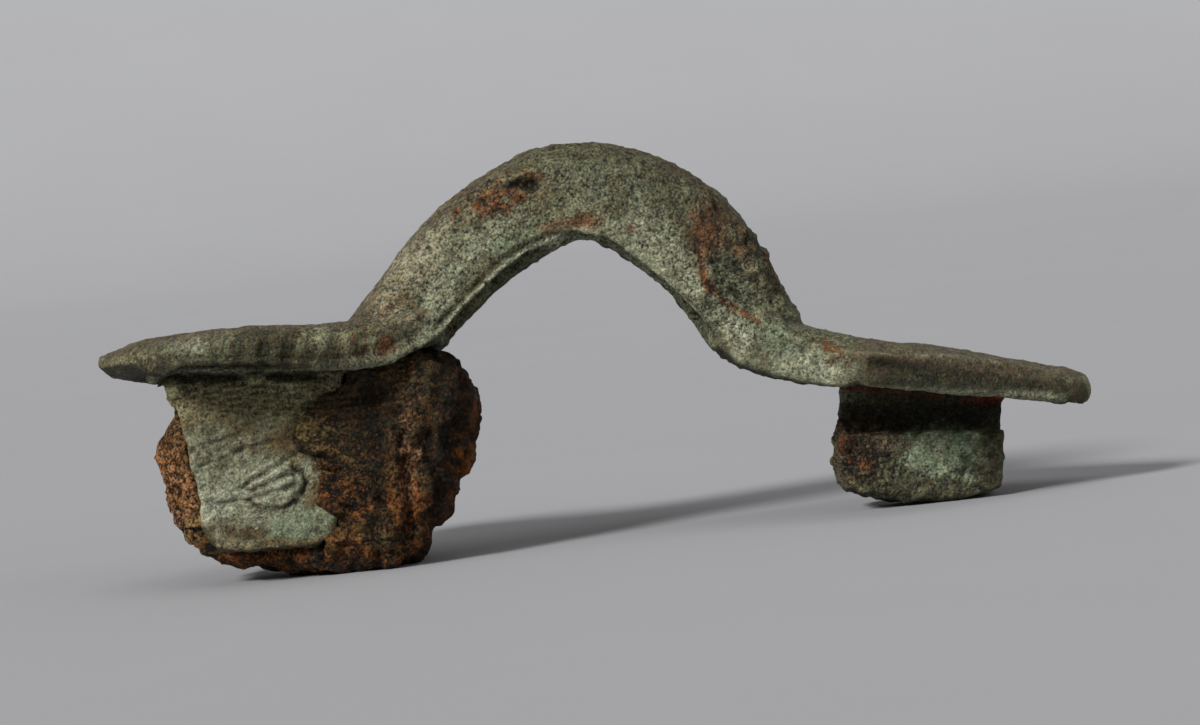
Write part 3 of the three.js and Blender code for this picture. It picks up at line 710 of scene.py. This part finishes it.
    # The catch.
    hook = smoothstep(398, 406, y) * smoothstep(825, 835, x)
    # Painted shade in the catch's recessed upper part, behind the lip and under the foot plate; dark olive on
    # the lip below.
    over(BLACK_OLIVE, hook * (1 - smoothstep(424, 434, y + 6 * ragged)) * 0.92)
    over(DARK_OLIVE, hook * smoothstep(424, 434, y) * 0.8)
    flecks(OLIVE, 0.7, 900, 478, 60, 26)
    paint(DARK_RUST, 0.7, 858, 452, 32, 32)
    flecks(BLACK_OLIVE, 0.8, 866, 448, 40, 26)
    flecks(PINK_BROWN, 0.6, 884, 446, 20, 16)
    flecks(CUPRITE, 0.4, 848, 450, 8, 18)
    flecks(BLACK_OLIVE, 0.7, 862, 462, 34, 26)
    paint(ORANGE_RUST, 0.7, 864, 462, 7, 6, tear=torn)
    paint((TURQUOISE + PALE) * 0.65, 0.95, 944, 452, 40, 24, tear=0.6 * torn)
    flecks(PALE, 0.5, 930, 456, 24, 16)
    flecks(DARK_OLIVE, 0.6, 934, 434, 18, 4)
    flecks(TEAL, 0.9, 968, 456, 9, 28)
    flecks(TURQUOISE * 1.2, 0.8, 958, 440, 10, 14)
    paint(DARK_OLIVE, 0.8, 990, 460, 10, 36)
    flecks(BLACK_OLIVE, 0.6, 992, 452, 9, 34)
    flecks(DARK_OLIVE, 0.8, 910, 488, 76, 12)
    flecks(SAND, 0.3, 930, 492, 60, 8)

    # The near lug.
    lug = head * smoothstep(376, 384, y)
    over(BROWN * 2.1, lug * 0.9)
    # Painted light on the lug's root under the head plate, where the plate's shadow falls.
    over(SAND * 1.3, lug * close * (1 - smoothstep(388, 402, y)) * (1 - smoothstep(285, 320, x)) * 0.9)
    # The painted shadow below the head plate's lip goes on here.
    over(BLACK_OLIVE, lip_shadow * (0.1 + 0.8 * open_lip_shadow) * (1 - spot(pixels, 255, 380, 14, 8, 0)))
    over(OLIVE, lug * (0.15 + 0.45 * smoothstep(0.0, 0.5, fine)))
    groove = smoothstep(0.2, 0.9, -np.sin(striation(points, pixels)))
    over(DARK_OLIVE, lug * near * groove * (1 - smoothstep(425, 440, y)) * 0.6)
    root = lug * close * smoothstep(290, 325, x + 12 * ragged) * (1 - smoothstep(425, 450, y))
    over(RUST_WASH * 1.2, root * 0.85)
    # Painted light on the upper lug, where the head plate shades it.
    painted_light_shelf = lug * close * smoothstep(225, 245, x) * (1 - smoothstep(392, 404, y + 6 * ragged))
    over(SAND * 1.3, painted_light_shelf * 0.9 * smoothstep(-0.6, 0.4, fine))
    upper = lug * close * smoothstep(386, 396, y) * (1 - smoothstep(412, 432, y + 6 * ragged))
    upper *= 1 - smoothstep(300, 340, x)
    over(SAND * 1.25, upper * 0.5)
    paint(PALE, 0.95, 240, 482, 68, 56)
    paint(BRIGHT, 0.8, 216, 500, 20, 26)
    flecks(BROWN, 0.6, 215, 446, 40, 20)
    flecks(OLIVE, 0.7, 220, 450, 34, 26)
    paint(BRIGHT, 0.75, 270, 484, 34, 24, -20)
    dark_rays = smoothstep(0.1, 0.9, -np.sin(fan_angle(pixels) * FAN_RAYS))
    dark_rays *= spot(pixels, 268, 485, 32, 22, -22)
    over(DARK_OLIVE, near * 0.45 * dark_rays)
    line(DARK_OLIVE, 0.8, 4, [(293, 466), (303, 472), (307, 482), (303, 492)])
    line(DARK_OLIVE, 0.8, 5, [(246, 500), (262, 508), (284, 507), (296, 500)])
    for crack in LUG_CRACKS:
        line(DARK_OLIVE, 0.5, 4, crack, torn)
    paint(TURQUOISE * 0.5 + PALE * 0.5, 0.9, 302, 524, 36, 14, -14)
    flecks(PALE, 0.6, 302, 518, 30, 8, -14)
    flecks(BROWN, 0.9, 238, 530, 30, 10, 8)
    paint(BROWN, 0.85, 302, 440, 44, 16, -10)
    flecks(DARK_RUST, 0.5, 300, 440, 40, 14)
    line(DARK_OLIVE, 0.9, 7, [(178, 425), (187, 470), (197, 520), (214, 542)])

    # Painted shade underneath and in hollows, painted highlights and painted shade along the edges, painted
    # light on the bow's rim where shade falls, and the far lug.
    # Painted shade on surfaces facing down, weaker under the bow and the neck.
    under_shade = 1 - 0.8 * close * smoothstep(500, 560, x) * (1 - smoothstep(830, 860, x))
    under_shade -= 0.6 * painted_light_shelf
    over(DARK_OLIVE, under * 0.6 * under_shade)
    over(BLACK_OLIVE, under * 0.5 * under_shade)
    # Painted light on the bow's rim under the crown, on its underside and on the far rim's inner side, where
    # shade falls; a painted highlight along the near rim.
    painted_light_band = smoothstep(520, 560, x) * (1 - smoothstep(690, 720, x))
    over(PALE, close * 0.75 * bell(rim, -1, 2.2))
    far_rim = near * smoothstep(1.0, 2.0, (points - TARGET) @ ACROSS) * (1 - smoothstep(16, 24, np.abs(rim)))
    over(PALE * 1.5, painted_light_band * np.maximum(close * under, far_rim) * 0.75)
    over(BRIGHT * 1.5, close * painted_light_band * 0.9 * bell(rim, -2, 2.2))
    # Painted shade in the groove beside the rim.
    over(DARK_OLIVE, close * 0.75 * bell(rim, 4, 2.2))
    # Painted highlights along the head plate's lip and along the foot plate's lower edge.
    edge = close * (1 - smoothstep(415, 440, x))
    over(PALE, edge * 0.8 * bell(lip, 0.5, 2.2))
    low = beside(pixels, FOOT_BASE) + 1.5 * ragged
    over(PALE, close * foot * 0.8 * bell(low, 2, 3.5))
    far_lug = lug * (1 - near)
    behind = to_pixels(points - ACROSS * LUG_SPAN)
    over(PALE, far_lug * 0.7 * spot(behind, 250, 490, 60, 44, 0, ragged + 0.5 * torn))
    over(TURQUOISE, far_lug * 0.8 * spot(behind, 215, 470, 22, 34, 0, ragged))
    over(DARK_RUST, far_lug * smoothstep(-0.2, 0.5, patch + 0.4 * torn) * 0.6)
    # Darker in the hollows: painted shade, and dark corrosion in the pits.
    over(BLACK_OLIVE, hollow * 0.7)
    return coat.colours


# The rust.

RUST_BLACK = srgb(18, 16, 8)
RUST_DARK = srgb(50, 38, 17)
RUST_BROWN = srgb(76, 58, 30)
RUST_RED = srgb(166, 118, 80)
RUST_ORANGE = srgb(134, 78, 30)
RUST_OCHRE = srgb(112, 96, 56)

# How far the rust laps over the near lug's right edge: a height in the picture, and a reach in pixels.
LAP = [
    (380, 0), (392, 14), (410, 26), (440, 40), (458, 34), (475, 20),
    (500, 22), (512, 8), (522, 2), (540, 10), (560, 0),
]

# The lug's left edge and its base, in pixels.
LUG_LEFT = [(172, 385), (180, 425), (188, 470), (203, 525)]
LUG_BASE = [(212, 541), (240, 548), (290, 548), (322, 540)]

# Bumps and hollows, as on the casting.
RUST_BUMPS = [
    (0.22, 338, 490, 26, 24),
    (-0.35, 374, 398, 12, 10),
    (-0.25, 330, 432, 9, 6, 40),
    (-0.22, 380, 450, 12, 30),
]

# The distance between the rust's upright ridges, in pixels.
RIDGE_PITCH = 27.0


def ridges(points, pixels):
    """0 on the upright ridges of the rust, and 1 in the middle of the valleys between them."""
    return 1 - np.abs(np.sin((pixels[:, 0] + 6 * layered(points, 2.0, 77, 2)) * math.pi / RIDGE_PITCH))


def rust_relief(points, normals, pixels, near):
    """How far the rust's surface rises above its plain form, in millimetres."""
    x, y = pixels[:, 0], pixels[:, 1]
    ragged = 0.25 * layered(points, 0.9, 71, 3)
    rise = 0.12 + 0.20 * layered(points, 2.4, 72, 3)
    rise += 0.20 * (1 - 2 * np.abs(layered(points, 1.3, 73, 3)))
    rise += 0.05 * layered(points, 0.5, 74, 2)
    far, own = dots(points, 1.0, 75)
    rise -= 0.26 * (own < 0.35) * (1 - smoothstep(0.1, 0.4, far))
    far, own = dots(points, 0.5, 76)
    rise += 0.08 * (own > 0.5) * (1 - smoothstep(0.1, 0.5, far))
    column = ridges(points, pixels)
    lower = 0.3 + 0.7 * smoothstep(395, 440, y)
    rise += 0.27 * (1 - smoothstep(0.15, 0.7, column)) * smoothstep(350, 395, x) * lower
    worn = (1 - smoothstep(395, 430, x)) * (1 - smoothstep(415, 440, y + 8 * ragged))
    rise = rise * (1 - 0.6 * worn * near) + near * worn * 0.05 * np.sin(striation(points, pixels))
    rise += near * bumps(pixels, RUST_BUMPS, ragged)
    left = 1 - smoothstep(190, 206, x)
    rise += left * 0.16 * layered(points, 1.0, 79, 3)
    rise -= 0.34 * (1 - smoothstep(152, 196, x)) * smoothstep(0.1, 0.6, -(normals @ RIGHT))
    rise += 0.12 * (1 - smoothstep(196, 212, x)) * smoothstep(0.5, 0.9, np.abs(normals @ ACROSS))
    rise -= 0.42 * smoothstep(415, 462, x) * smoothstep(395, 440, y)
    return rise


def lap_over(points, normals):
    """Moves the rust's outer faces by both lugs sideways and up, to the edges of the lugs and over them."""
    heights, reaches = np.array(LAP, float).T
    uneven = layered(points, 0.9, 78, 3)
    depth = (points - TARGET) @ ACROSS
    moved = points.copy()
    for side, shift in ((-1, 0.0), (1, LUG_SPAN)):
        pixels = to_pixels(points - ACROSS * shift)
        x, y = pixels[:, 0], pixels[:, 1]
        outer = smoothstep(0.35, 0.8, side * (normals @ ACROSS))
        reach = np.interp(y, heights, reaches) + 6 * uneven
        right = np.maximum(reach, 0) * (1 - smoothstep(336, 392, x)) * smoothstep(322, 332, x)
        left = (7 + 4 * uneven) * (1 - smoothstep(2, 24, -beside(pixels, LUG_LEFT))) * (x < 225)
        base = (6 + 4 * uneven) * (1 - smoothstep(2, 20, -beside(pixels, LUG_BASE))) * (y > 530)
        top = (8 + 3 * uneven) * (1 - smoothstep(380, 398, y)) * smoothstep(318, 332, x)
        top *= smoothstep(1.0, 2.0, side * depth) * (1 - smoothstep(410, 435, x))
        moved += RIGHT * ((left - right) * outer / PIXELS_PER_MM)[:, None]
        moved += UP * ((base * outer + top) / PIXELS_PER_MM)[:, None]
    return moved


def rust_grain(pixels, near):
    """How coarse the rust looks: finer where it is worn or dark, coarser by the lug and at the left end."""
    x, y = pixels[:, 0], pixels[:, 1]
    worn = (1 - smoothstep(385, 415, x)) * (1 - smoothstep(405, 430, y))
    dark = smoothstep(415, 440, x)
    lively = spot(pixels, 345, 490, 40, 34) + (1 - smoothstep(190, 205, x))
    return 1.1 - near * (0.55 * worn + 0.5 * dark - 0.35 * lively)


def rust_colours(points, normals, pixels, near, hollow):
    """The rust's colour at each point."""
    ragged = 0.5 * layered(points, 1.0, 81, 5, 0.65)
    torn = 0.9 * layered(points, 0.5, 80, 4, 0.7)
    broad = layered(points, 2.4, 82, 4)
    fine = layered(points, 0.6, 83, 3)
    x, y = pixels[:, 0], pixels[:, 1]
    coat = Coat(RUST_DARK, pixels, near, ragged, torn)
    over, paint, flecks = coat.over, coat.patch, coat.flecks
    over(RUST_BROWN, smoothstep(-0.4, 0.5, broad) * 0.8)
    over(RUST_ORANGE, smoothstep(0.35, 0.9, fine) * 0.3)
    lumps = layered(points, 0.9, 84, 3)
    over(RUST_BLACK, smoothstep(0.1, 0.5, -lumps) * 0.7)
    over(RUST_ORANGE * 1.15, smoothstep(0.2, 0.6, lumps) * 0.55)
    over(RUST_BLACK, smoothstep(0.3, 0.8, -broad) * 0.6)
    over(RUST_RED, (1 - smoothstep(190, 212, x)) * (0.55 + 0.4 * smoothstep(-0.2, 0.5, fine)))
    over(RUST_BLACK, smoothstep(380, 400, x) * (1 - smoothstep(430, 500, y + 20 * ragged)) * 0.6)
    # Painted shade on the rust's right side, which faces away from the light.
    over(RUST_BLACK, smoothstep(415, 440, x) * 0.65)

    valley = smoothstep(0.55, 0.9, ridges(points, pixels)) * smoothstep(350, 395, x) * smoothstep(395, 440, y)
    over(RUST_BLACK, valley * 0.6)
    worn = near * (1 - smoothstep(385, 415, x + 20 * ragged)) * (1 - smoothstep(405, 430, y + 12 * ragged))
    over(OLIVE * 0.75, worn * 0.7)
    wash = near * (1 - smoothstep(420, 450, x + 20 * ragged)) * (1 - smoothstep(415, 465, y + 16 * ragged))
    over(RUST_WASH, wash * 0.7)
    groove = smoothstep(0.2, 0.9, -np.sin(striation(points, pixels)))
    over(RUST_BLACK, worn * groove * 0.6)
    paint(RUST_OCHRE, 0.7, 306, 436, 50, 18, -8)
    flecks(RUST_DARK, 0.6, 310, 440, 50, 18, -8)
    paint(RUST_OCHRE, 0.45, 344, 444, 28, 26)
    flecks(RUST_OCHRE, 0.5, 345, 452, 60, 36)
    flecks(RUST_ORANGE, 0.8, 338, 492, 36, 30)
    flecks(RUST_ORANGE, 0.7, 352, 478, 20, 14)
    flecks(RUST_BLACK, 0.9, 350, 488, 34, 30)
    paint(RUST_BLACK, 0.6, 374, 418, 20, 36)
    paint(RUST_BLACK, 0.5, 378, 450, 14, 40)
    flecks(RUST_RED * (0.9, 1.0, 1.05), 0.85, 408, 455, 11, 40)
    flecks(RUST_ORANGE, 0.6, 400, 500, 12, 40)
    flecks(RUST_ORANGE, 0.9, 458, 480, 12, 44, 15)
    streak = stroke(pixels, [(474, 400), (472, 440), (464, 470), (455, 505)], 9, ragged)
    over(RUST_ORANGE, near * streak * 0.8)
    paint(RUST_BLACK, 0.6, 375, 398, 16, 12)
    flecks(RUST_OCHRE, 0.6, 345, 538, 60, 10)
    flecks(RUST_ORANGE, 0.7, 300, 556, 70, 8)
    flecks(RUST_OCHRE, 0.7, 196, 528, 16, 20, -40)
    flecks(RUST_OCHRE * 1.6, 0.6, 182, 475, 18, 62)
    flecks(RUST_BLACK, 0.6, 176, 450, 14, 20)
    flecks(RUST_ORANGE, 0.7, 168, 480, 12, 40, -10)
    over(RUST_ORANGE, (1 - near) * smoothstep(0.2, 0.7, broad) * 0.35)
    # Darker in the hollows: painted shade, and dark corrosion in the pits.
    over(RUST_BLACK, hollow * 0.75)
    return coat.colours


# Materials.


class Nodes:
    """Adds and links shader nodes."""

    def __init__(self, name):
        self.material = bpy.data.materials.new(name)
        self.material.use_nodes = True
        self.tree = self.material.node_tree
        self.shader = self.tree.nodes["Principled BSDF"]
        self.place = self.tree.nodes.new("ShaderNodeTexCoord").outputs["Object"]

    def link(self, source, target):
        self.tree.links.new(source, target)

    def attribute(self, name):
        node = self.tree.nodes.new("ShaderNodeAttribute")
        node.attribute_name = name
        return node

    def noise(self, size, detail, roughness=0.6):
        """Noise with lumps of a size in millimetres."""
        node = self.tree.nodes.new("ShaderNodeTexNoise")
        node.inputs["Scale"].default_value = 1 / (size * MM)
        node.inputs["Detail"].default_value = detail
        node.inputs["Roughness"].default_value = roughness
        self.link(self.place, node.inputs["Vector"])
        return node.outputs["Fac"]

    def grains(self, size):
        node = self.tree.nodes.new("ShaderNodeTexVoronoi")
        node.inputs["Scale"].default_value = 1 / (size * MM)
        self.link(self.place, node.inputs["Vector"])
        return node

    def parts(self, colour):
        """Two channels of a colour, as plain numbers."""
        node = self.tree.nodes.new("ShaderNodeSeparateColor")
        self.link(colour, node.inputs["Color"])
        return node.outputs["Red"], node.outputs["Green"]

    def scale(self, colour, factor):
        """A colour made brighter or darker by a factor."""
        node = self.tree.nodes.new("ShaderNodeVectorMath")
        node.operation = "SCALE"
        self.link(colour, node.inputs["Vector"])
        self.link(factor, node.inputs["Scale"])
        return node.outputs["Vector"]

    def spread(self, value, low, high, out_low=0.0, out_high=1.0):
        node = self.tree.nodes.new("ShaderNodeMapRange")
        node.inputs["From Min"].default_value = low
        node.inputs["From Max"].default_value = high
        node.inputs["To Min"].default_value = out_low
        node.inputs["To Max"].default_value = out_high
        self.link(value, node.inputs["Value"])
        return node.outputs["Result"]

    def maths(self, kind, a, b):
        node = self.tree.nodes.new("ShaderNodeMath")
        node.operation = kind
        for socket, value in zip(node.inputs, (a, b)):
            if isinstance(value, (int, float)):
                socket.default_value = value
            else:
                self.link(value, socket)
        return node.outputs["Value"]

    def mix(self, a, b, amount):
        node = self.tree.nodes.new("ShaderNodeMix")
        node.data_type = "RGBA"
        for socket, value in ((node.inputs[6], a), (node.inputs[7], b), (node.inputs[0], amount)):
            if isinstance(value, (int, float)):
                socket.default_value = value
            elif isinstance(value, np.ndarray):
                socket.default_value = (*value, 1.0)
            else:
                self.link(value, socket)
        return node.outputs[2]

    def bump(self, height, depth, below=None):
        node = self.tree.nodes.new("ShaderNodeBump")
        node.inputs["Strength"].default_value = 1.0
        node.inputs["Distance"].default_value = depth * MM
        self.link(height, node.inputs["Height"])
        if below is not None:
            self.link(below, node.inputs["Normal"])
        return node.outputs["Normal"]


def crust(n, base, tints, size, swing):
    """Breaks a painted colour up into grains of differing tint and brightness. Also returns its heights."""
    worn = n.attribute("raised").outputs["Fac"]
    coarse = n.attribute("grain").outputs["Fac"]
    crumbs = n.noise(size * 2.8, 6.0, 0.72)
    speckle = n.noise(size * 0.9, 2.0, 0.6)
    stain = n.noise(size * 5.5, 5.0, 0.65)
    cells = n.grains(size)
    distance = cells.outputs["Distance"]
    bright, tint = n.parts(cells.outputs["Color"])
    brown, green = tints
    colour = n.mix(base, brown, n.spread(tint, 0.62, 1.0, 0.0, 0.40))
    colour = n.mix(colour, green, n.spread(tint, 0.34, 0.0, 0.0, 0.30))
    colour = n.mix(colour, brown, n.spread(stain, 0.54, 0.68, 0.0, 0.30))
    change = n.spread(bright, 0.0, 1.0, -0.36 * swing, 0.40 * swing)
    change = n.maths("ADD", change, n.spread(speckle, 0.35, 0.65, -0.40 * swing, 0.42 * swing))
    change = n.maths("ADD", change, n.spread(crumbs, 0.36, 0.66, -0.34 * swing, 0.28 * swing))
    change = n.maths("ADD", change, n.spread(distance, 0.45, 0.75, 0.0, -0.35 * swing))
    change = n.maths("ADD", change, n.spread(worn, 0.0, 1.0, -0.04, 0.30 * swing))
    factor = n.maths("MAXIMUM", n.maths("ADD", n.maths("MULTIPLY", change, coarse), 1.0), 0.12)
    return n.scale(colour, factor), distance, speckle, crumbs


def patina_material():
    """Corroded copper alloy: sugary grains of differing brightness, dark gaps, and pale wear."""
    n = Nodes("bronze_patina")
    base = n.attribute("base_colour").outputs["Color"]
    colour, distance, speckle, crumbs = crust(n, base, (srgb(104, 80, 46), srgb(108, 126, 92)), 0.15, 1.0)
    n.link(colour, n.shader.inputs["Base Color"])
    n.link(n.spread(speckle, 0.35, 0.65, 0.45, 0.85), n.shader.inputs["Roughness"])
    n.shader.inputs["Specular IOR Level"].default_value = 0.3
    domes = n.bump(n.spread(distance, 0.0, 0.7, 1.0, 0.0), 0.11)
    fine = n.bump(speckle, 0.13, domes)
    n.link(n.bump(crumbs, 0.30, fine), n.shader.inputs["Normal"])
    return n.material


def rust_material():
    """Iron rust: matt crust with ochre grains, and dark, slightly glossy mineral in the gaps."""
    n = Nodes("rust")
    base = n.attribute("base_colour").outputs["Color"]
    colour, distance, speckle, crumbs = crust(n, base, (srgb(124, 78, 42), srgb(60, 56, 38)), 0.16, 1.6)
    n.link(colour, n.shader.inputs["Base Color"])
    n.link(n.spread(crumbs, 0.38, 0.62, 0.42, 0.92), n.shader.inputs["Roughness"])
    n.shader.inputs["Specular IOR Level"].default_value = 0.2
    domes = n.bump(n.spread(distance, 0.0, 0.7, 1.0, 0.0), 0.12)
    fine = n.bump(speckle, 0.12, domes)
    n.link(n.bump(crumbs, 0.50, fine), n.shader.inputs["Normal"])
    return n.material


# The pieces.


def dress(names, mesh_size, surface, material, lap=None):
    """Replaces a node by a dense mesh with relief and painted colours."""
    name, node = names
    voxel, rounding = mesh_size
    relief, colouring, grain = surface
    piece = dense_copy(name, node, voxel)
    mesh = piece.data
    smoother = Smoother(mesh)
    plain = points_of(mesh)
    flat = smoothstep(0.04, 0.3, plain[:, 2])
    points = smoother.smooth(plain, rounding)
    points = plain + (points - plain) * flat[:, None]
    normals = normals_of(mesh, points)
    near = smoothstep(-0.15, 0.3, -(normals @ AHEAD))
    pixels = to_pixels(points)
    shaped = points + normals * (relief(points, normals, pixels, near) * flat)[:, None]
    if lap is not None:
        shaped = lap(shaped, normals)
    shaped[:, 2] = np.maximum(shaped[:, 2], 0.0)
    even = smoother.smooth(shaped, 14)
    shaped_normals = normals_of(mesh, shaped)
    height = ((shaped - even) * shaped_normals).sum(axis=1)
    raised = smoothstep(0.01, 0.09, height)
    hollow = smoothstep(0.015, 0.12, -height)
    store(mesh, "base_colour", np.clip(colouring(points, normals, pixels, near, hollow), 0, 1))
    store(mesh, "raised", raised)
    store(mesh, "grain", grain(pixels, near))
    finish_mesh(piece, shaped)
    mesh.materials.append(material)
    print(name, sum(len(p.vertices) - 2 for p in mesh.polygons), "triangles")


# The studio.


def make_stage():
    """A pale floor that curves up into a backdrop."""
    width, front, back, bend, tall = 1.6, 1.2, 0.5, 0.3, 0.9
    outline = [(-front, 0.0), (back, 0.0)]
    for i in range(1, 13):
        a = math.pi / 2 * i / 12
        outline.append((back + bend * math.sin(a), bend * (1 - math.cos(a))))
    outline.append((back + bend, tall))
    verts = [(side * width, y, z) for y, z in outline for side in (-1, 1)]
    faces = [(2 * i, 2 * i + 1, 2 * i + 3, 2 * i + 2) for i in range(len(outline) - 1)]
    mesh = bpy.data.meshes.new("floor")
    mesh.from_pydata(verts, [], faces)
    mesh.polygons.foreach_set("use_smooth", np.ones(len(faces), bool))
    floor = bpy.data.objects.new("floor", mesh)
    bpy.context.scene.collection.objects.link(floor)
    n = Nodes("studio_floor")
    n.link(n.mix(srgb(155, 155, 157), srgb(158, 158, 160), n.noise(30.0, 2.0)), n.shader.inputs["Base Color"])
    n.shader.inputs["Roughness"].default_value = 0.9
    n.shader.inputs["Specular IOR Level"].default_value = 0.1
    mesh.materials.append(n.material)


def add_light(name, azimuth, elevation, softness, strength):
    """A distant light, placed by angles in degrees: azimuth 0 is behind the camera, and 90 to its left."""
    data = bpy.data.lights.new(name, "SUN")
    data.angle = math.radians(softness)
    data.energy = strength
    light = bpy.data.objects.new(name, data)
    a, e = math.radians(azimuth), math.radians(elevation)
    place = Vector((-math.sin(a) * math.cos(e), -math.cos(a) * math.cos(e), math.sin(e)))
    light.location = place
    light.rotation_euler = place.to_track_quat("Z", "Y").to_euler()
    bpy.context.scene.collection.objects.link(light)


def make_lights():
    """A soft key light from the left, a weak fill, a top light and a grey sky."""
    world = bpy.data.worlds.new("studio")
    world.use_nodes = True
    sky = world.node_tree.nodes["Background"]
    sky.inputs["Color"].default_value = (0.84, 0.84, 0.84, 1.0)
    sky.inputs["Strength"].default_value = SKY_STRENGTH
    bpy.context.scene.world = world
    add_light("key", 48, 34, 14, 3.4)
    add_light("fill", -40, 30, 40, 0.35)
    add_light("top", 10, 80, 40, 0.5)


def main():
    make_camera()
    make_stage()
    make_lights()
    dress(
        ("bronze_casting", "brooch_casting"),
        (CASTING_VOXEL, CASTING_ROUNDING),
        (casting_relief, casting_colours, casting_grain),
        patina_material(),
    )
    dress(
        ("iron_rust", "rusted_spring"),
        (RUST_VOXEL, RUST_ROUNDING),
        (rust_relief, rust_colours, rust_grain),
        rust_material(),
        lap_over,
    )
    scene = bpy.context.scene
    scene.view_settings.view_transform = "Standard"


main()
